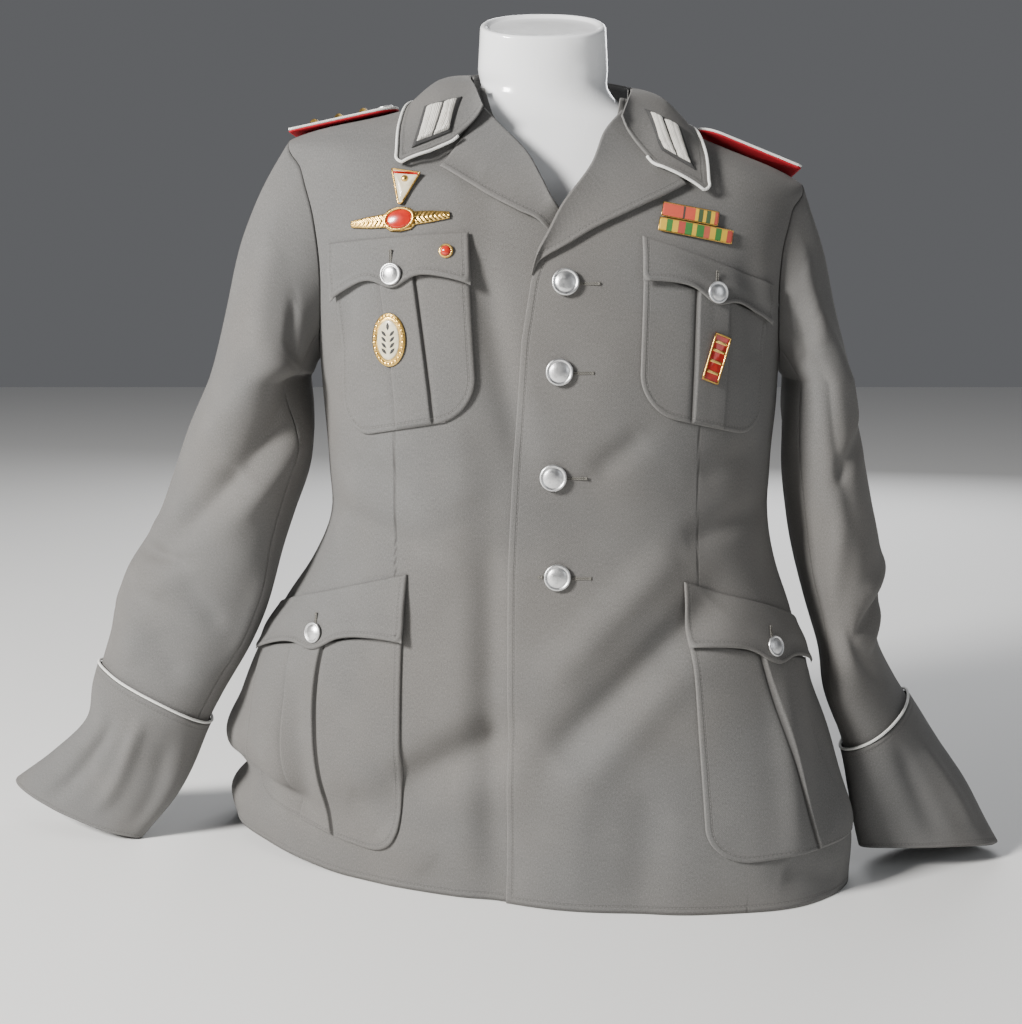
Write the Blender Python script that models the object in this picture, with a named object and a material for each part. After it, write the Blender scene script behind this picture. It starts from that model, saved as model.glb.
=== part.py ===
"""A grey officer's tunic with patch pockets, worn by a limbless torso form. Metres, +Z up, front towards -Y.

Left and right are the wearer's: the right side is at -X. The form stands on the table at z = 0.
"""

import math

import bmesh
import bpy
import numpy as np
from mathutils import Matrix, Vector

# Cloth walls and the gaps between pieces.
CLOTH = 0.0018
FELT = 0.0026
SEAM_GAP = 0.00035
LIE_GAP = 0.0010
CUFF_GAP = 0.00158

# Heights of the armhole's foot and of the shoulder point, and of the neck seam.
ARMPIT_Z = 0.475
SHOULDER_Z = 0.660
NECK_Z = 0.716

# The shell of the coat: one row for each height, half sizes from the middle line.
# square is the roundness of the ring (2 is an ellipse), the two turns swing the skirt's sides forwards
# or back, and lean drops the left shoulder.
BODY_COLUMNS = ("z", "right", "left", "front", "back", "square", "turn_right", "turn_left", "lean")
BODY_ROWS = (
    (0.000, 0.318, 0.281, 0.154, 0.150, 2.3, 0.28, 0.19, 0.000),
    (0.030, 0.323, 0.283, 0.154, 0.150, 2.3, 0.27, 0.18, 0.000),
    (0.062, 0.304, 0.280, 0.154, 0.149, 2.3, 0.25, 0.17, 0.000),
    (0.095, 0.323, 0.271, 0.155, 0.147, 2.3, 0.22, 0.15, 0.000),
    (0.150, 0.303, 0.256, 0.152, 0.142, 2.3, 0.17, 0.12, 0.000),
    (0.200, 0.281, 0.240, 0.148, 0.135, 2.3, 0.12, 0.09, 0.000),
    (0.250, 0.252, 0.226, 0.143, 0.126, 2.3, 0.08, 0.06, 0.000),
    (0.290, 0.225, 0.213, 0.140, 0.117, 2.3, 0.04, 0.03, 0.000),
    (0.330, 0.207, 0.206, 0.138, 0.111, 2.3, 0.01, 0.01, 0.000),
    (0.380, 0.206, 0.206, 0.139, 0.113, 2.3, 0.00, 0.00, 0.000),
    (0.440, 0.210, 0.210, 0.139, 0.118, 2.3, 0.00, 0.00, -0.010),
    (0.490, 0.215, 0.213, 0.136, 0.121, 2.3, 0.00, 0.00, -0.030),
    (0.540, 0.222, 0.219, 0.130, 0.120, 2.3, 0.00, 0.00, -0.050),
    (0.590, 0.232, 0.226, 0.117, 0.112, 2.3, 0.00, 0.00, -0.070),
    (0.630, 0.239, 0.231, 0.100, 0.098, 2.3, 0.00, 0.00, -0.083),
    (0.655, 0.240, 0.232, 0.085, 0.084, 2.2, 0.00, 0.00, -0.083),
    (0.668, 0.212, 0.206, 0.076, 0.077, 2.1, 0.00, 0.00, -0.083),
    (0.682, 0.166, 0.162, 0.067, 0.069, 2.0, 0.00, 0.00, -0.083),
    (0.697, 0.118, 0.116, 0.059, 0.063, 2.0, 0.00, 0.00, -0.080),
    (0.708, 0.088, 0.088, 0.055, 0.061, 2.0, 0.00, 0.00, -0.075),
    (0.720, 0.072, 0.072, 0.053, 0.060, 2.0, 0.00, 0.00, -0.070),
)

# Half width of the armhole's opening, measured along the cloth from the side line.
ARMHOLE_COLUMNS = ("z", "front", "back")
ARMHOLE_ROWS = (
    (0.475, 0.000, 0.000),
    (0.480, 0.021, 0.021),
    (0.495, 0.040, 0.042),
    (0.525, 0.056, 0.060),
    (0.570, 0.064, 0.068),
    (0.610, 0.056, 0.060),
    (0.640, 0.038, 0.040),
    (0.655, 0.018, 0.018),
    (0.660, 0.000, 0.000),
)

# The front edges, as the x of the edge at each height. The left front lies over the right one.
EDGE_COLUMNS = ("z", "left", "right")
EDGE_ROWS = (
    (0.000, -0.041, 0.018),
    (0.300, -0.039, 0.018),
    (0.400, -0.034, 0.018),
    (0.500, -0.027, 0.018),
    (0.550, -0.019, 0.018),
    (0.576, -0.010, 0.014),
    (0.608, 0.007, 0.002),
    (0.650, 0.034, -0.020),
    (0.690, 0.056, -0.052),
    (0.716, 0.062, -0.060),
)

# Sleeves: horizontal sections with x measured outwards, long and short half axes and the long axis's turn.
# tilt_out and tilt_back raise the section's outer and back parts.
SLEEVE_COLUMNS = ("z", "x", "y", "long", "short", "turn", "tilt_out", "tilt_back")
RIGHT_SLEEVE_ROWS = (
    (0.018, 0.478, 0.062, 0.082, 0.026, 30, 0.22, 0.00),
    (0.060, 0.436, 0.044, 0.074, 0.031, 27, 0.16, 0.00),
    (0.120, 0.394, 0.026, 0.060, 0.040, 18, 0.05, 0.00),
    (0.158, 0.380, 0.020, 0.069, 0.040, 20, 0.00, 0.00),
    (0.208, 0.357, 0.015, 0.077, 0.044, 25, 0.00, 0.00),
    (0.276, 0.333, 0.010, 0.086, 0.054, 38, 0.00, 0.00),
    (0.334, 0.306, 0.006, 0.080, 0.060, 58, 0.00, 0.00),
    (0.411, 0.2805, 0.005, 0.082, 0.059, 72, 0.00, 0.00),
    (0.460, 0.271, 0.005, 0.086, 0.048, 82, 0.00, 0.00),
)
LEFT_SLEEVE_ROWS = (
    (0.013, 0.367, -0.030, 0.070, 0.032, 17, 0.00, -0.30),
    (0.070, 0.345, -0.022, 0.069, 0.034, 36, 0.00, -0.12),
    (0.125, 0.321, -0.010, 0.068, 0.034, 58, 0.00, 0.00),
    (0.170, 0.299, -0.002, 0.072, 0.032, 68, 0.00, 0.00),
    (0.208, 0.288, 0.004, 0.075, 0.029, 78, 0.00, 0.00),
    (0.286, 0.277, 0.008, 0.079, 0.041, 84, 0.00, 0.00),
    (0.350, 0.265, 0.008, 0.083, 0.040, 86, 0.00, 0.00),
    (0.410, 0.255, 0.006, 0.084, 0.036, 88, 0.00, 0.00),
    (0.460, 0.251, 0.005, 0.084, 0.030, 88, 0.00, 0.00),
)
SLEEVE_FOOT_Z = {"right": 0.018, "left": 0.013}
SECTION_TOP_Z = 0.460
SLEEVE_HEAD_PUFF = {"right": 0.013, "left": 0.003}
# The two seams of a sleeve, as angles round it: 0 is outside, 90 the front, 180 against the body.
FORE_SEAM_DEG = 140
HIND_SEAM_DEG = 280
COLUMN_DEG = 20

# The turned cuff and its piping: the height of the piping's ring and how much higher it is outside.
CUFF_TOP_Z = {"right": 0.151, "left": 0.130}
CUFF_SLOPE = {"right": 0.026, "left": 0.018}
PIPING_R = 0.0014
LOW_SLEEVE_LEVELS = (0.040, 0.062, 0.088, 0.112)

# Collar stations from the front end round to the back, on one side: the roll line, a point halfway
# down the fall (at the front end it is the notch) and the free edge, which lies on the shoulders.
COLLAR_COLUMNS = ("roll_x", "roll_y", "roll_z", "mid_x", "mid_y", "edge_x", "edge_y")
COLLAR_ROWS = (
    (0.061, -0.075, 0.697, 0.086, -0.081, 0.133, -0.084),
    (0.068, -0.050, 0.714, 0.097, -0.059, 0.132, -0.057),
    (0.074, -0.008, 0.727, 0.101, -0.010, 0.123, -0.010),
    (0.071, 0.036, 0.734, 0.088, 0.039, 0.101, 0.040),
    (0.046, 0.065, 0.740, 0.054, 0.069, 0.061, 0.064),
    (0.000, 0.076, 0.742, 0.000, 0.077, 0.000, 0.068),
)
COLLAR_LIFT = 0.0052
# (station, way across the fall) at a collar patch's inner and outer top corners and at its inner and outer front ones
PATCH_CORNERS = {
    "right": ((0.830, 0.20), (0.785, 0.70), (0.970, 0.49), (0.970, 0.87)),
    "left": ((0.800, 0.22), (0.770, 0.70), (0.940, 0.55), (0.950, 0.88)),
}

# Lapels in the front view: roll line and outer edge, from the gorge down to the break.
LAPEL_COLUMNS = ("roll_x", "roll_z", "edge_x", "edge_z")
LEFT_LAPEL_ROWS = (
    (0.062, 0.695, 0.116, 0.632),
    (0.046, 0.675, 0.097, 0.622),
    (0.034, 0.646, 0.068, 0.609),
    (0.010, 0.614, 0.036, 0.594),
    (-0.003, 0.590, 0.012, 0.580),
    (-0.014, 0.570, -0.011, 0.567),
)
RIGHT_LAPEL_ROWS = (
    (-0.060, 0.696, -0.0975, 0.648),
    (-0.046, 0.680, -0.080, 0.637),
    (-0.024, 0.657, -0.056, 0.622),
    (-0.011, 0.634, -0.031, 0.609),
    (-0.002, 0.617, -0.015, 0.602),
)

# Pockets: the inner top corner as distance along the cloth from the middle line, and sizes.
# slant drops the outer end. point, dip and side are the flap's depths at its middle, between and at its ends.
POCKET_COLUMNS = (
    "name", "side", "start", "top", "width", "height", "slant", "slant_low", "lean", "spread",
    "pleat_lean", "pleat_bow", "point", "dip", "end", "pleat",
)
POCKET_ROWS = (
    ("right_chest", -1, 0.074, 0.583, 0.132, 0.148, 0.12, 0.18, -0.065, 0.00, -0.080, 0.000, 0.040, 0.030, 0.043, 0.032),
    ("left_chest", 1, 0.078, 0.590, 0.128, 0.150, 0.27, 0.22, -0.030, 0.00, 0.000, 0.000, 0.040, 0.030, 0.040, 0.032),
    ("right_skirt", -1, 0.132, 0.292, 0.182, 0.262, 0.27, -0.12, 0.050, 0.00, 0.000, 0.018, 0.060, 0.048, 0.060, 0.040),
    ("left_skirt", 1, 0.118, 0.287, 0.158, 0.242, 0.32, -0.04, 0.075, 0.25, 0.120, 0.000, 0.060, 0.048, 0.056, 0.040),
)
POCKET_CORNER_R = 0.034
PLEAT_RISE = 0.0014

# Buttons: a shanked dome.
BUTTON_R = 0.0118
SMALL_BUTTON_R = 0.0096
BUTTON_Z = (0.549, 0.474, 0.384, 0.297)
BUTTON_X = (0.010, 0.005, 0.000, 0.004)

# Shoulder boards: distance of the round end from the middle line, length, width and the two layers.
BOARD_START_X = {"right": 0.138, "left": 0.131}
BOARD_LENGTH = 0.100
BOARD_WIDTH = 0.044
BOARD_FELT = 0.0022
BOARD_TILT_DEG = {"right": 1, "left": 10}
BOARD_BRAID = 0.0022
PIP_R = 0.0065
PIP_STEPS = (0.022, 0.045, 0.068)

# The torso form, standing on its flat base.
FORM_COLUMNS = ("z", "half", "front", "back", "square", "lean")
FORM_ROWS = (
    (0.000, 0.166, 0.106, 0.098, 2.3, 0.000),
    (0.100, 0.170, 0.110, 0.102, 2.3, 0.000),
    (0.200, 0.160, 0.103, 0.094, 2.3, 0.000),
    (0.290, 0.154, 0.100, 0.088, 2.3, 0.000),
    (0.380, 0.164, 0.108, 0.092, 2.3, 0.000),
    (0.470, 0.176, 0.113, 0.098, 2.3, -0.020),
    (0.540, 0.180, 0.108, 0.104, 2.3, -0.050),
    (0.590, 0.180, 0.095, 0.100, 2.2, -0.070),
    (0.630, 0.176, 0.076, 0.088, 2.2, -0.083),
    (0.655, 0.172, 0.062, 0.074, 2.1, -0.083),
    (0.668, 0.167, 0.057, 0.069, 2.0, -0.083),
    (0.682, 0.150, 0.052, 0.062, 2.0, -0.083),
    (0.697, 0.110, 0.049, 0.058, 2.0, -0.080),
    (0.708, 0.074, 0.044, 0.052, 2.0, -0.070),
    (0.720, 0.060, 0.043, 0.050, 2.0, -0.040),
    (0.740, 0.059, 0.043, 0.050, 2.0, -0.010),
    (0.776, 0.057, 0.046, 0.050, 2.2, 0.000),
)
NECK_CUT_SLOPE = 0.36
NECK_SHIFT = -0.007

RING_POINTS = 361
SIGN = {"right": -1, "left": 1}


def table(columns, rows):
    """The rows as named columns of numbers."""
    return {name: np.array([row[i] for row in rows]) for i, name in enumerate(columns)}


BODY = table(BODY_COLUMNS, BODY_ROWS)
ARMHOLE = table(ARMHOLE_COLUMNS, ARMHOLE_ROWS)
EDGE = table(EDGE_COLUMNS, EDGE_ROWS)
FORM = table(FORM_COLUMNS, FORM_ROWS)
SLEEVE = {
    "right": table(SLEEVE_COLUMNS, RIGHT_SLEEVE_ROWS),
    "left": table(SLEEVE_COLUMNS, LEFT_SLEEVE_ROWS),
}
LAPEL = {
    "left": table(LAPEL_COLUMNS, LEFT_LAPEL_ROWS),
    "right": table(LAPEL_COLUMNS, RIGHT_LAPEL_ROWS),
}
COLLAR = table(COLLAR_COLUMNS, COLLAR_ROWS)


def smooth(tab, name, at, key="z"):
    """A column read between its rows along a smooth curve that passes through each row."""
    x, y = tab[key], tab[name]
    at = min(max(at, x[0]), x[-1])
    i = int(min(max(np.searchsorted(x, at) - 1, 0), len(x) - 2))
    slope = np.gradient(y, x)
    h = x[i + 1] - x[i]
    t = (at - x[i]) / h
    return (
        (2 * t**3 - 3 * t**2 + 1) * y[i]
        + (t**3 - 2 * t**2 + t) * h * slope[i]
        + (-2 * t**3 + 3 * t**2) * y[i + 1]
        + (t**3 - t**2) * h * slope[i + 1]
    )


def ease(x, low, high):
    """0 below low, 1 above high, smooth between."""
    t = min(max((x - low) / (high - low), 0.0), 1.0)
    return t * t * (3 - 2 * t)


RINGS = {}


def body_ring(z):
    """(distance along the cloth from the middle front, points) of the coat's ring at a height."""
    key = round(z, 6)
    if key not in RINGS:
        angle = np.radians(np.linspace(-270, 90, RING_POINTS))
        power = 2 / smooth(BODY, "square", z)
        cos, sin = np.cos(angle), np.sin(angle)
        side = np.where(cos > 0, smooth(BODY, "left", z), smooth(BODY, "right", z))
        depth = np.where(sin < 0, smooth(BODY, "front", z), smooth(BODY, "back", z))
        x = side * np.sign(cos) * np.abs(cos) ** power
        swing = np.where(x > 0, smooth(BODY, "turn_left", z), smooth(BODY, "turn_right", z))
        y = depth * np.sign(sin) * np.abs(sin) ** power - swing * x
        points = np.stack([x, y, z + smooth(BODY, "lean", z) * x], axis=1)
        step = np.linalg.norm(np.diff(points, axis=0), axis=1)
        along = np.concatenate([[0], np.cumsum(step)])
        RINGS[key] = (along - along[RING_POINTS // 2], points)
    return RINGS[key]


def body_point(z, s):
    along, points = body_ring(z)
    return Vector([float(np.interp(s, along, points[:, i])) for i in range(3)])


def body_normal(z, s):
    """The outward normal of the coat at a height and a distance along the cloth."""
    step = 0.002
    across = body_point(z, s + step) - body_point(z, s - step)
    low, high = max(z - step, 0.0), min(z + step, 0.7195)
    up = body_point(high, s) - body_point(low, s)
    return across.cross(up).normalized()


def side_line(z, sign):
    """Distance along the cloth to the side line, where the side seam and shoulder seam lie."""
    along, _ = body_ring(z)
    return float(along[270 if sign > 0 else 90])


def at_x(z, x):
    """Distance along the cloth, on the front half, to the point with this x."""
    along, points = body_ring(z)
    return float(np.interp(x, points[90:271, 0], along[90:271]))


def front_at(x, z):
    """(height, distance along the cloth) of the front's point seen at x and z in the front view."""
    level = z
    for _ in range(6):
        level = z - smooth(BODY, "lean", level) * x
    return level, at_x(level, x)


def top_z(x, y):
    """Height of the shoulders over a point of the top view."""
    low, high = 0.45, 0.7199
    for _ in range(30):
        z = (low + high) / 2
        side = smooth(BODY, "left" if x > 0 else "right", z)
        depth = smooth(BODY, "front" if y < 0 else "back", z)
        n = smooth(BODY, "square", z)
        inside = (abs(x) / side) ** n + (abs(y) / depth) ** n < 1
        low, high = (z, high) if inside else (low, z)
    return low + smooth(BODY, "lean", low) * x


def over_shoulder(x, y, lift):
    """A point lifted off the shoulders along their normal, over (x, y) of the top view."""
    step = 0.003
    z = top_z(x, y)
    fall_x = (top_z(x + step, y) - top_z(x - step, y)) / (2 * step)
    fall_y = (top_z(x, y + step) - top_z(x, y - step)) / (2 * step)
    return Vector((x, y, z)) + Vector((-fall_x, -fall_y, 1)).normalized() * lift


def material(name, colour, roughness=0.8, metallic=0.0):
    made = bpy.data.materials.get(name)
    if made is None:
        made = bpy.data.materials.new(name)
        made.use_nodes = True
        shader = made.node_tree.nodes["Principled BSDF"]
        shader.inputs["Base Color"].default_value = (*colour, 1)
        shader.inputs["Roughness"].default_value = roughness
        shader.inputs["Metallic"].default_value = metallic
    return made


def stone_grey():
    return material("stone_grey_cloth", (0.20, 0.19, 0.17), 0.85)


def new_object(name, bm, finish, smooth_faces=True):
    mesh = bpy.data.meshes.new(name)
    bm.normal_update()
    bm.to_mesh(mesh)
    bm.free()
    mesh.materials.append(finish)
    if smooth_faces:
        mesh.shade_smooth()
    made = bpy.data.objects.new(name, mesh)
    bpy.context.scene.collection.objects.link(made)
    return made


def sheet(name, points, finish, thickness=CLOTH, around=False, grows=-1):
    """A cloth wall on a grid of points, rows going up and columns going towards the left hand.

    around joins the last column to the first. grows is -1 for a wall inside the points and 1 for one outside.
    """
    bm = bmesh.new()
    grid = [[bm.verts.new(p) for p in row] for row in points]
    columns = len(grid[0])
    for low, high in zip(grid, grid[1:]):
        for i in range(columns if around else columns - 1):
            j = (i + 1) % columns
            bm.faces.new((low[i], low[j], high[j], high[i]))
    made = new_object(name, bm, finish)
    wall = made.modifiers.new("wall", "SOLIDIFY")
    wall.thickness = thickness
    wall.offset = grows
    wall.use_rim = True
    wall.use_even_offset = False
    return made


def slab(name, outer, inner, finish):
    """A cloth wall between two grids of points, rows going up and columns going towards the left hand."""
    bm = bmesh.new()
    out, back = [[[bm.verts.new(p) for p in row] for row in points] for points in (outer, inner)]
    rows, columns = len(out), len(out[0])
    for r in range(rows - 1):
        for i in range(columns - 1):
            bm.faces.new((out[r][i], out[r][i + 1], out[r + 1][i + 1], out[r + 1][i]))
            bm.faces.new((back[r][i], back[r + 1][i], back[r + 1][i + 1], back[r][i + 1]))
        bm.faces.new((back[r][0], out[r][0], out[r + 1][0], back[r + 1][0]))
        bm.faces.new((out[r][-1], back[r][-1], back[r + 1][-1], out[r + 1][-1]))
    for i in range(columns - 1):
        bm.faces.new((back[0][i], back[0][i + 1], out[0][i + 1], out[0][i]))
        bm.faces.new((out[-1][i], out[-1][i + 1], back[-1][i + 1], back[-1][i]))
    return new_object(name, bm, finish)


def tube(name, points, radius, finish, closed=False, sides=2):
    """A round cord through points."""
    curve = bpy.data.curves.new(name, "CURVE")
    curve.dimensions = "3D"
    curve.bevel_depth = radius
    curve.bevel_resolution = sides
    curve.use_fill_caps = not closed
    spline = curve.splines.new("POLY")
    spline.points.add(len(points) - 1)
    for knot, p in zip(spline.points, points):
        knot.co = (*p, 1)
    spline.use_cyclic_u = closed
    curve.materials.append(finish)
    made = bpy.data.objects.new(name, curve)
    bpy.context.scene.collection.objects.link(made)
    return made


def turned(name, profile, finish, steps, place):
    """A round piece turned about its own +Z from (radius, height) pairs that start and end on the axis."""
    bm = bmesh.new()
    verts = [bm.verts.new((r, 0, h)) for r, h in profile]
    edges = [bm.edges.new(pair) for pair in zip(verts, verts[1:])]
    bmesh.ops.spin(
        bm,
        geom=verts + edges,
        cent=(0, 0, 0),
        axis=(0, 0, 1),
        angle=math.tau,
        steps=steps,
        use_merge=True,
    )
    bmesh.ops.remove_doubles(bm, verts=bm.verts, dist=1e-6)
    bmesh.ops.recalc_face_normals(bm, faces=bm.faces)
    made = new_object(name, bm, finish)
    made.matrix_world = place
    return made


def plate(name, outline, thickness, finish, place):
    """A flat plate with the given outline in its own XY, standing on z = 0 of its place."""
    bm = bmesh.new()
    face = bm.faces.new([bm.verts.new((x, y, 0)) for x, y in outline])
    raised = bmesh.ops.extrude_face_region(bm, geom=[face])
    top = [v for v in raised["geom"] if isinstance(v, bmesh.types.BMVert)]
    bmesh.ops.translate(bm, verts=top, vec=(0, 0, thickness))
    bmesh.ops.recalc_face_normals(bm, faces=bm.faces)
    made = new_object(name, bm, finish, smooth_faces=False)
    made.matrix_world = place
    return made


def place_on_body(z, s, lift, spin_deg=0.0):
    """A place on the coat: own +Z outwards and own +Y up the cloth, turned by spin_deg about +Z."""
    out = body_normal(z, s)
    up = (body_point(z + 0.002, s) - body_point(z - 0.002, s)).normalized()
    across = up.cross(out).normalized()
    up = out.cross(across)
    turn = Matrix((across, up, out)).transposed().to_4x4()
    return (
        Matrix.Translation(body_point(z, s) + out * lift)
        @ turn
        @ Matrix.Rotation(math.radians(spin_deg), 4, "Z")
    )


def armhole_levels():
    """Heights at which the armhole's edge is cut, from the armpit to the shoulder point."""
    middle = (ARMPIT_Z + SHOULDER_Z) / 2
    half = (SHOULDER_Z - ARMPIT_Z) / 2
    return [middle - half * math.cos(math.radians(d)) for d in range(0, 181, COLUMN_DEG)]


def body_levels():
    skirt = [0.0, 0.03, 0.062, 0.095, 0.15, 0.2, 0.25, 0.29, 0.33, 0.38, 0.43]
    shoulder = [0.668, 0.682, 0.697, NECK_Z]
    return skirt + armhole_levels() + shoulder


def outer_edge(z, sign, half):
    """Distance along the cloth to the side seam, the armhole's edge or the shoulder seam."""
    gape = smooth(ARMHOLE, half, z) if ARMPIT_Z < z < SHOULDER_Z else 0.0
    turn = -1 if half == "front" else 1
    return side_line(z, sign) + sign * turn * (max(gape, 0.0) + SEAM_GAP)


def overlap_inset(z, x):
    """How deep the right front lies under the left one near the front edge."""
    depth = CLOTH + 0.0010
    return depth * ease(x, -0.085, -0.050) * (1 - 0.55 * ease(z, 0.60, 0.66))


def hem_z(z, x):
    """The hem stands on the table, and its right side is lifted a little."""
    lift = 0.012 * ease(-x, 0.18, 0.31)
    return lift * (1 - ease(z, 0.0, 0.12))


def body_wall(name, rows, sign):
    """A panel of the coat from rows of (outer point, outward normal)."""
    outer, inner = [], []
    for row in rows:
        row = row if sign > 0 else row[::-1]
        outer.append([p for p, _ in row])
        inner.append([p - out * CLOTH for p, out in row])
    for low, high in zip(inner[0], outer[0]):
        low.z = high.z
    return slab(name, outer, inner, stone_grey())


def front_panel(side):
    sign = SIGN[side]
    rows = []
    for z in body_levels():
        inner = at_x(z, float(np.interp(z, EDGE["z"], EDGE[side])))
        outer = outer_edge(z, sign, "front")
        row = []
        for t in np.linspace(0, 1, 12):
            s = inner + (outer - inner) * (1 - (1 - t) ** 1.4)
            p, out = body_point(z, s), body_normal(z, s)
            if side == "right":
                p -= out * overlap_inset(z, p.x)
            p.z += hem_z(z, p.x)
            row.append((p, out))
        rows.append(row)
    return body_wall(f"{side}_front", rows, sign)


def back_panel(side):
    sign = SIGN[side]
    rows = []
    for z in body_levels():
        along, _ = body_ring(z)
        middle = float(along[-1] if sign > 0 else along[0]) - sign * SEAM_GAP
        outer = outer_edge(z, sign, "back")
        row = []
        for t in np.linspace(0, 1, 10):
            s = outer + (middle - outer) * t**1.4
            p = body_point(z, s)
            p.z += hem_z(z, p.x)
            row.append((p, body_normal(z, s)))
        rows.append(row)
    return body_wall(f"{side}_back", rows, sign)


def section_point(side, z, phi):
    """A point of a sleeve's section: phi is 0 outside, 90 in front, 180 against the body."""
    tab, sign = SLEEVE[side], SIGN[side]
    turn = math.radians(smooth(tab, "turn", z))
    psi = -math.radians(phi) - turn
    a = smooth(tab, "long", z) * math.cos(psi)
    b = smooth(tab, "short", z) * math.sin(psi)
    out = a * math.cos(turn) - b * math.sin(turn)
    back = a * math.sin(turn) + b * math.cos(turn)
    rise = smooth(tab, "tilt_out", z) * out + smooth(tab, "tilt_back", z) * back
    return Vector((sign * (smooth(tab, "x", z) + out), smooth(tab, "y", z) + back, z + rise))


def armhole_place(side, phi):
    """(height, distance along the cloth) of the armhole's edge that a sleeve's column at phi is sewn to."""
    sign = SIGN[side]
    middle = (ARMPIT_Z + SHOULDER_Z) / 2
    z = middle + (SHOULDER_Z - middle) * math.cos(math.radians(phi))
    half = "front" if phi < 180 else "back"
    gape = max(smooth(ARMHOLE, half, z) - SEAM_GAP * 2, 0.0)
    return z, side_line(z, sign) - sign * gape * (1 if half == "front" else -1)


def sleeve_point(side, z, phi):
    """A point of the sleeve's outside. Above the highest section it runs up to the armhole."""
    if z <= SECTION_TOP_Z:
        return section_point(side, z, phi)
    w = (z - SECTION_TOP_Z) / (SHOULDER_Z - SECTION_TOP_Z)
    low, high = section_point(side, SECTION_TOP_Z, phi), body_point(*armhole_place(side, phi))
    p = low.lerp(high, w)
    outward = (1 + math.cos(math.radians(phi))) / 2
    p.x += SIGN[side] * (SLEEVE_HEAD_PUFF[side] * outward * math.sin(math.pi * w**1.6) + SEAM_GAP)
    return p


def sleeve_wall(name, side, phis, levels):
    """A sleeve's panel. Its inner side follows the coat's wall at the armhole and is level at the foot."""
    outer, inner = [], []
    for z in levels:
        row, back = [], []
        for phi in phis:
            p = sleeve_point(side, z, phi % 360)
            if z >= SHOULDER_Z:
                under = p - body_normal(*armhole_place(side, phi % 360)) * CLOTH
            else:
                under = sleeve_out(side, z, phi % 360, -CLOTH)
            if z == levels[0]:
                under.z = p.z
            row.append(p)
            back.append(under)
        outer.append(row if side == "left" else row[::-1])
        inner.append(back if side == "left" else back[::-1])
    return slab(name, outer, inner, stone_grey())


def sleeve_levels(side):
    foot = SLEEVE_FOOT_Z[side]
    upper = [0.135, 0.158, 0.183, 0.208, 0.24, 0.276, 0.334, 0.40, 0.46, 0.51, 0.56, 0.605, 0.64, SHOULDER_Z]
    return [foot, *LOW_SLEEVE_LEVELS, *upper]


def sleeve_panels(side):
    gap = 0.35
    hind = HIND_SEAM_DEG - 360
    top = [FORE_SEAM_DEG - gap, *range(FORE_SEAM_DEG - COLUMN_DEG, hind, -COLUMN_DEG), hind + gap]
    between = range(HIND_SEAM_DEG - COLUMN_DEG, FORE_SEAM_DEG, -COLUMN_DEG)
    under = [HIND_SEAM_DEG - gap, *between, FORE_SEAM_DEG + gap]
    levels = sleeve_levels(side)
    sleeve_wall(f"{side}_top_sleeve", side, top, levels)
    sleeve_wall(f"{side}_under_sleeve", side, under, levels)


def cuff_top(side, phi):
    return CUFF_TOP_Z[side] + CUFF_SLOPE[side] * math.cos(math.radians(phi))


def sleeve_out(side, z, phi, lift):
    """A sleeve's point moved out along its normal."""
    step = 0.004
    low = max(z - step, SLEEVE_FOOT_Z[side])
    up = sleeve_point(side, z + step, phi) - sleeve_point(side, low, phi)
    across = sleeve_point(side, z, phi + 3) - sleeve_point(side, z, phi - 3)
    out = up.cross(across).normalized() * SIGN[side]
    return sleeve_point(side, z, phi) + out * lift


def cuff(side):
    foot = SLEEVE_FOOT_Z[side]
    phis = list(range(360, 0, -COLUMN_DEG))
    rows = []
    low_levels = [foot, *LOW_SLEEVE_LEVELS]
    for level in range(len(low_levels) + 2):
        row = []
        for p in phis:
            top = cuff_top(side, p)
            steps = [*low_levels, (low_levels[-1] + top) / 2, top]
            row.append(sleeve_out(side, steps[level], p % 360, CUFF_GAP))
        rows.append(row if side == "left" else row[::-1])
    sheet(f"{side}_cuff", rows, stone_grey(), around=True, grows=1)
    white = material("white_piping", (0.80, 0.80, 0.78), 0.6)
    lift = CUFF_GAP + PIPING_R
    ring = [sleeve_out(side, cuff_top(side, p) + PIPING_R + 0.0006, p % 360, lift) for p in phis]
    tube(f"{side}_cuff_piping", ring, PIPING_R, white, closed=True, sides=1)


def collar_station(t, name):
    """A collar column at station t, from -1 at the right front end to 1 at the left one."""
    place = (1 - abs(t)) * (len(COLLAR_ROWS) - 1)
    return float(np.interp(place, range(len(COLLAR_ROWS)), COLLAR[name]))


def collar_roll(t):
    side = 1 if t >= 0 else -1
    x = side * collar_station(t, "roll_x")
    return Vector((x, collar_station(t, "roll_y"), collar_station(t, "roll_z") - 0.072 * x))


def collar_fall_point(t, w):
    """The fall's outside: w is 0 at the roll line and 1 at the free edge."""
    roll = collar_roll(t)
    side = 1 if t >= 0 else -1
    if w <= 0:
        return roll
    mid_x, mid_y = side * collar_station(t, "mid_x"), collar_station(t, "mid_y")
    edge_x, edge_y = side * collar_station(t, "edge_x"), collar_station(t, "edge_y")
    if w < 0.5:
        x, y = roll.x + (mid_x - roll.x) * 2 * w, roll.y + (mid_y - roll.y) * 2 * w
    else:
        x, y = mid_x + (edge_x - mid_x) * (2 * w - 1), mid_y + (edge_y - mid_y) * (2 * w - 1)
    resting = over_shoulder(x, y, COLLAR_LIFT + 0.003 * math.sin(math.pi * w))
    edge = over_shoulder(edge_x, edge_y, COLLAR_LIFT)
    front = ease(abs(t), 0.6, 1.0)
    fallen = w ** (1 - 0.31 * front)
    hanging = Vector((x + (edge.x - edge_x) * w, y + (edge.y - edge_y) * w, roll.z + (edge.z - roll.z) * fallen))
    hanging.z += 0.008 * (1 - 0.9 * front) * math.sin(math.pi * w)
    return resting if resting.z > hanging.z else hanging


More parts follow.
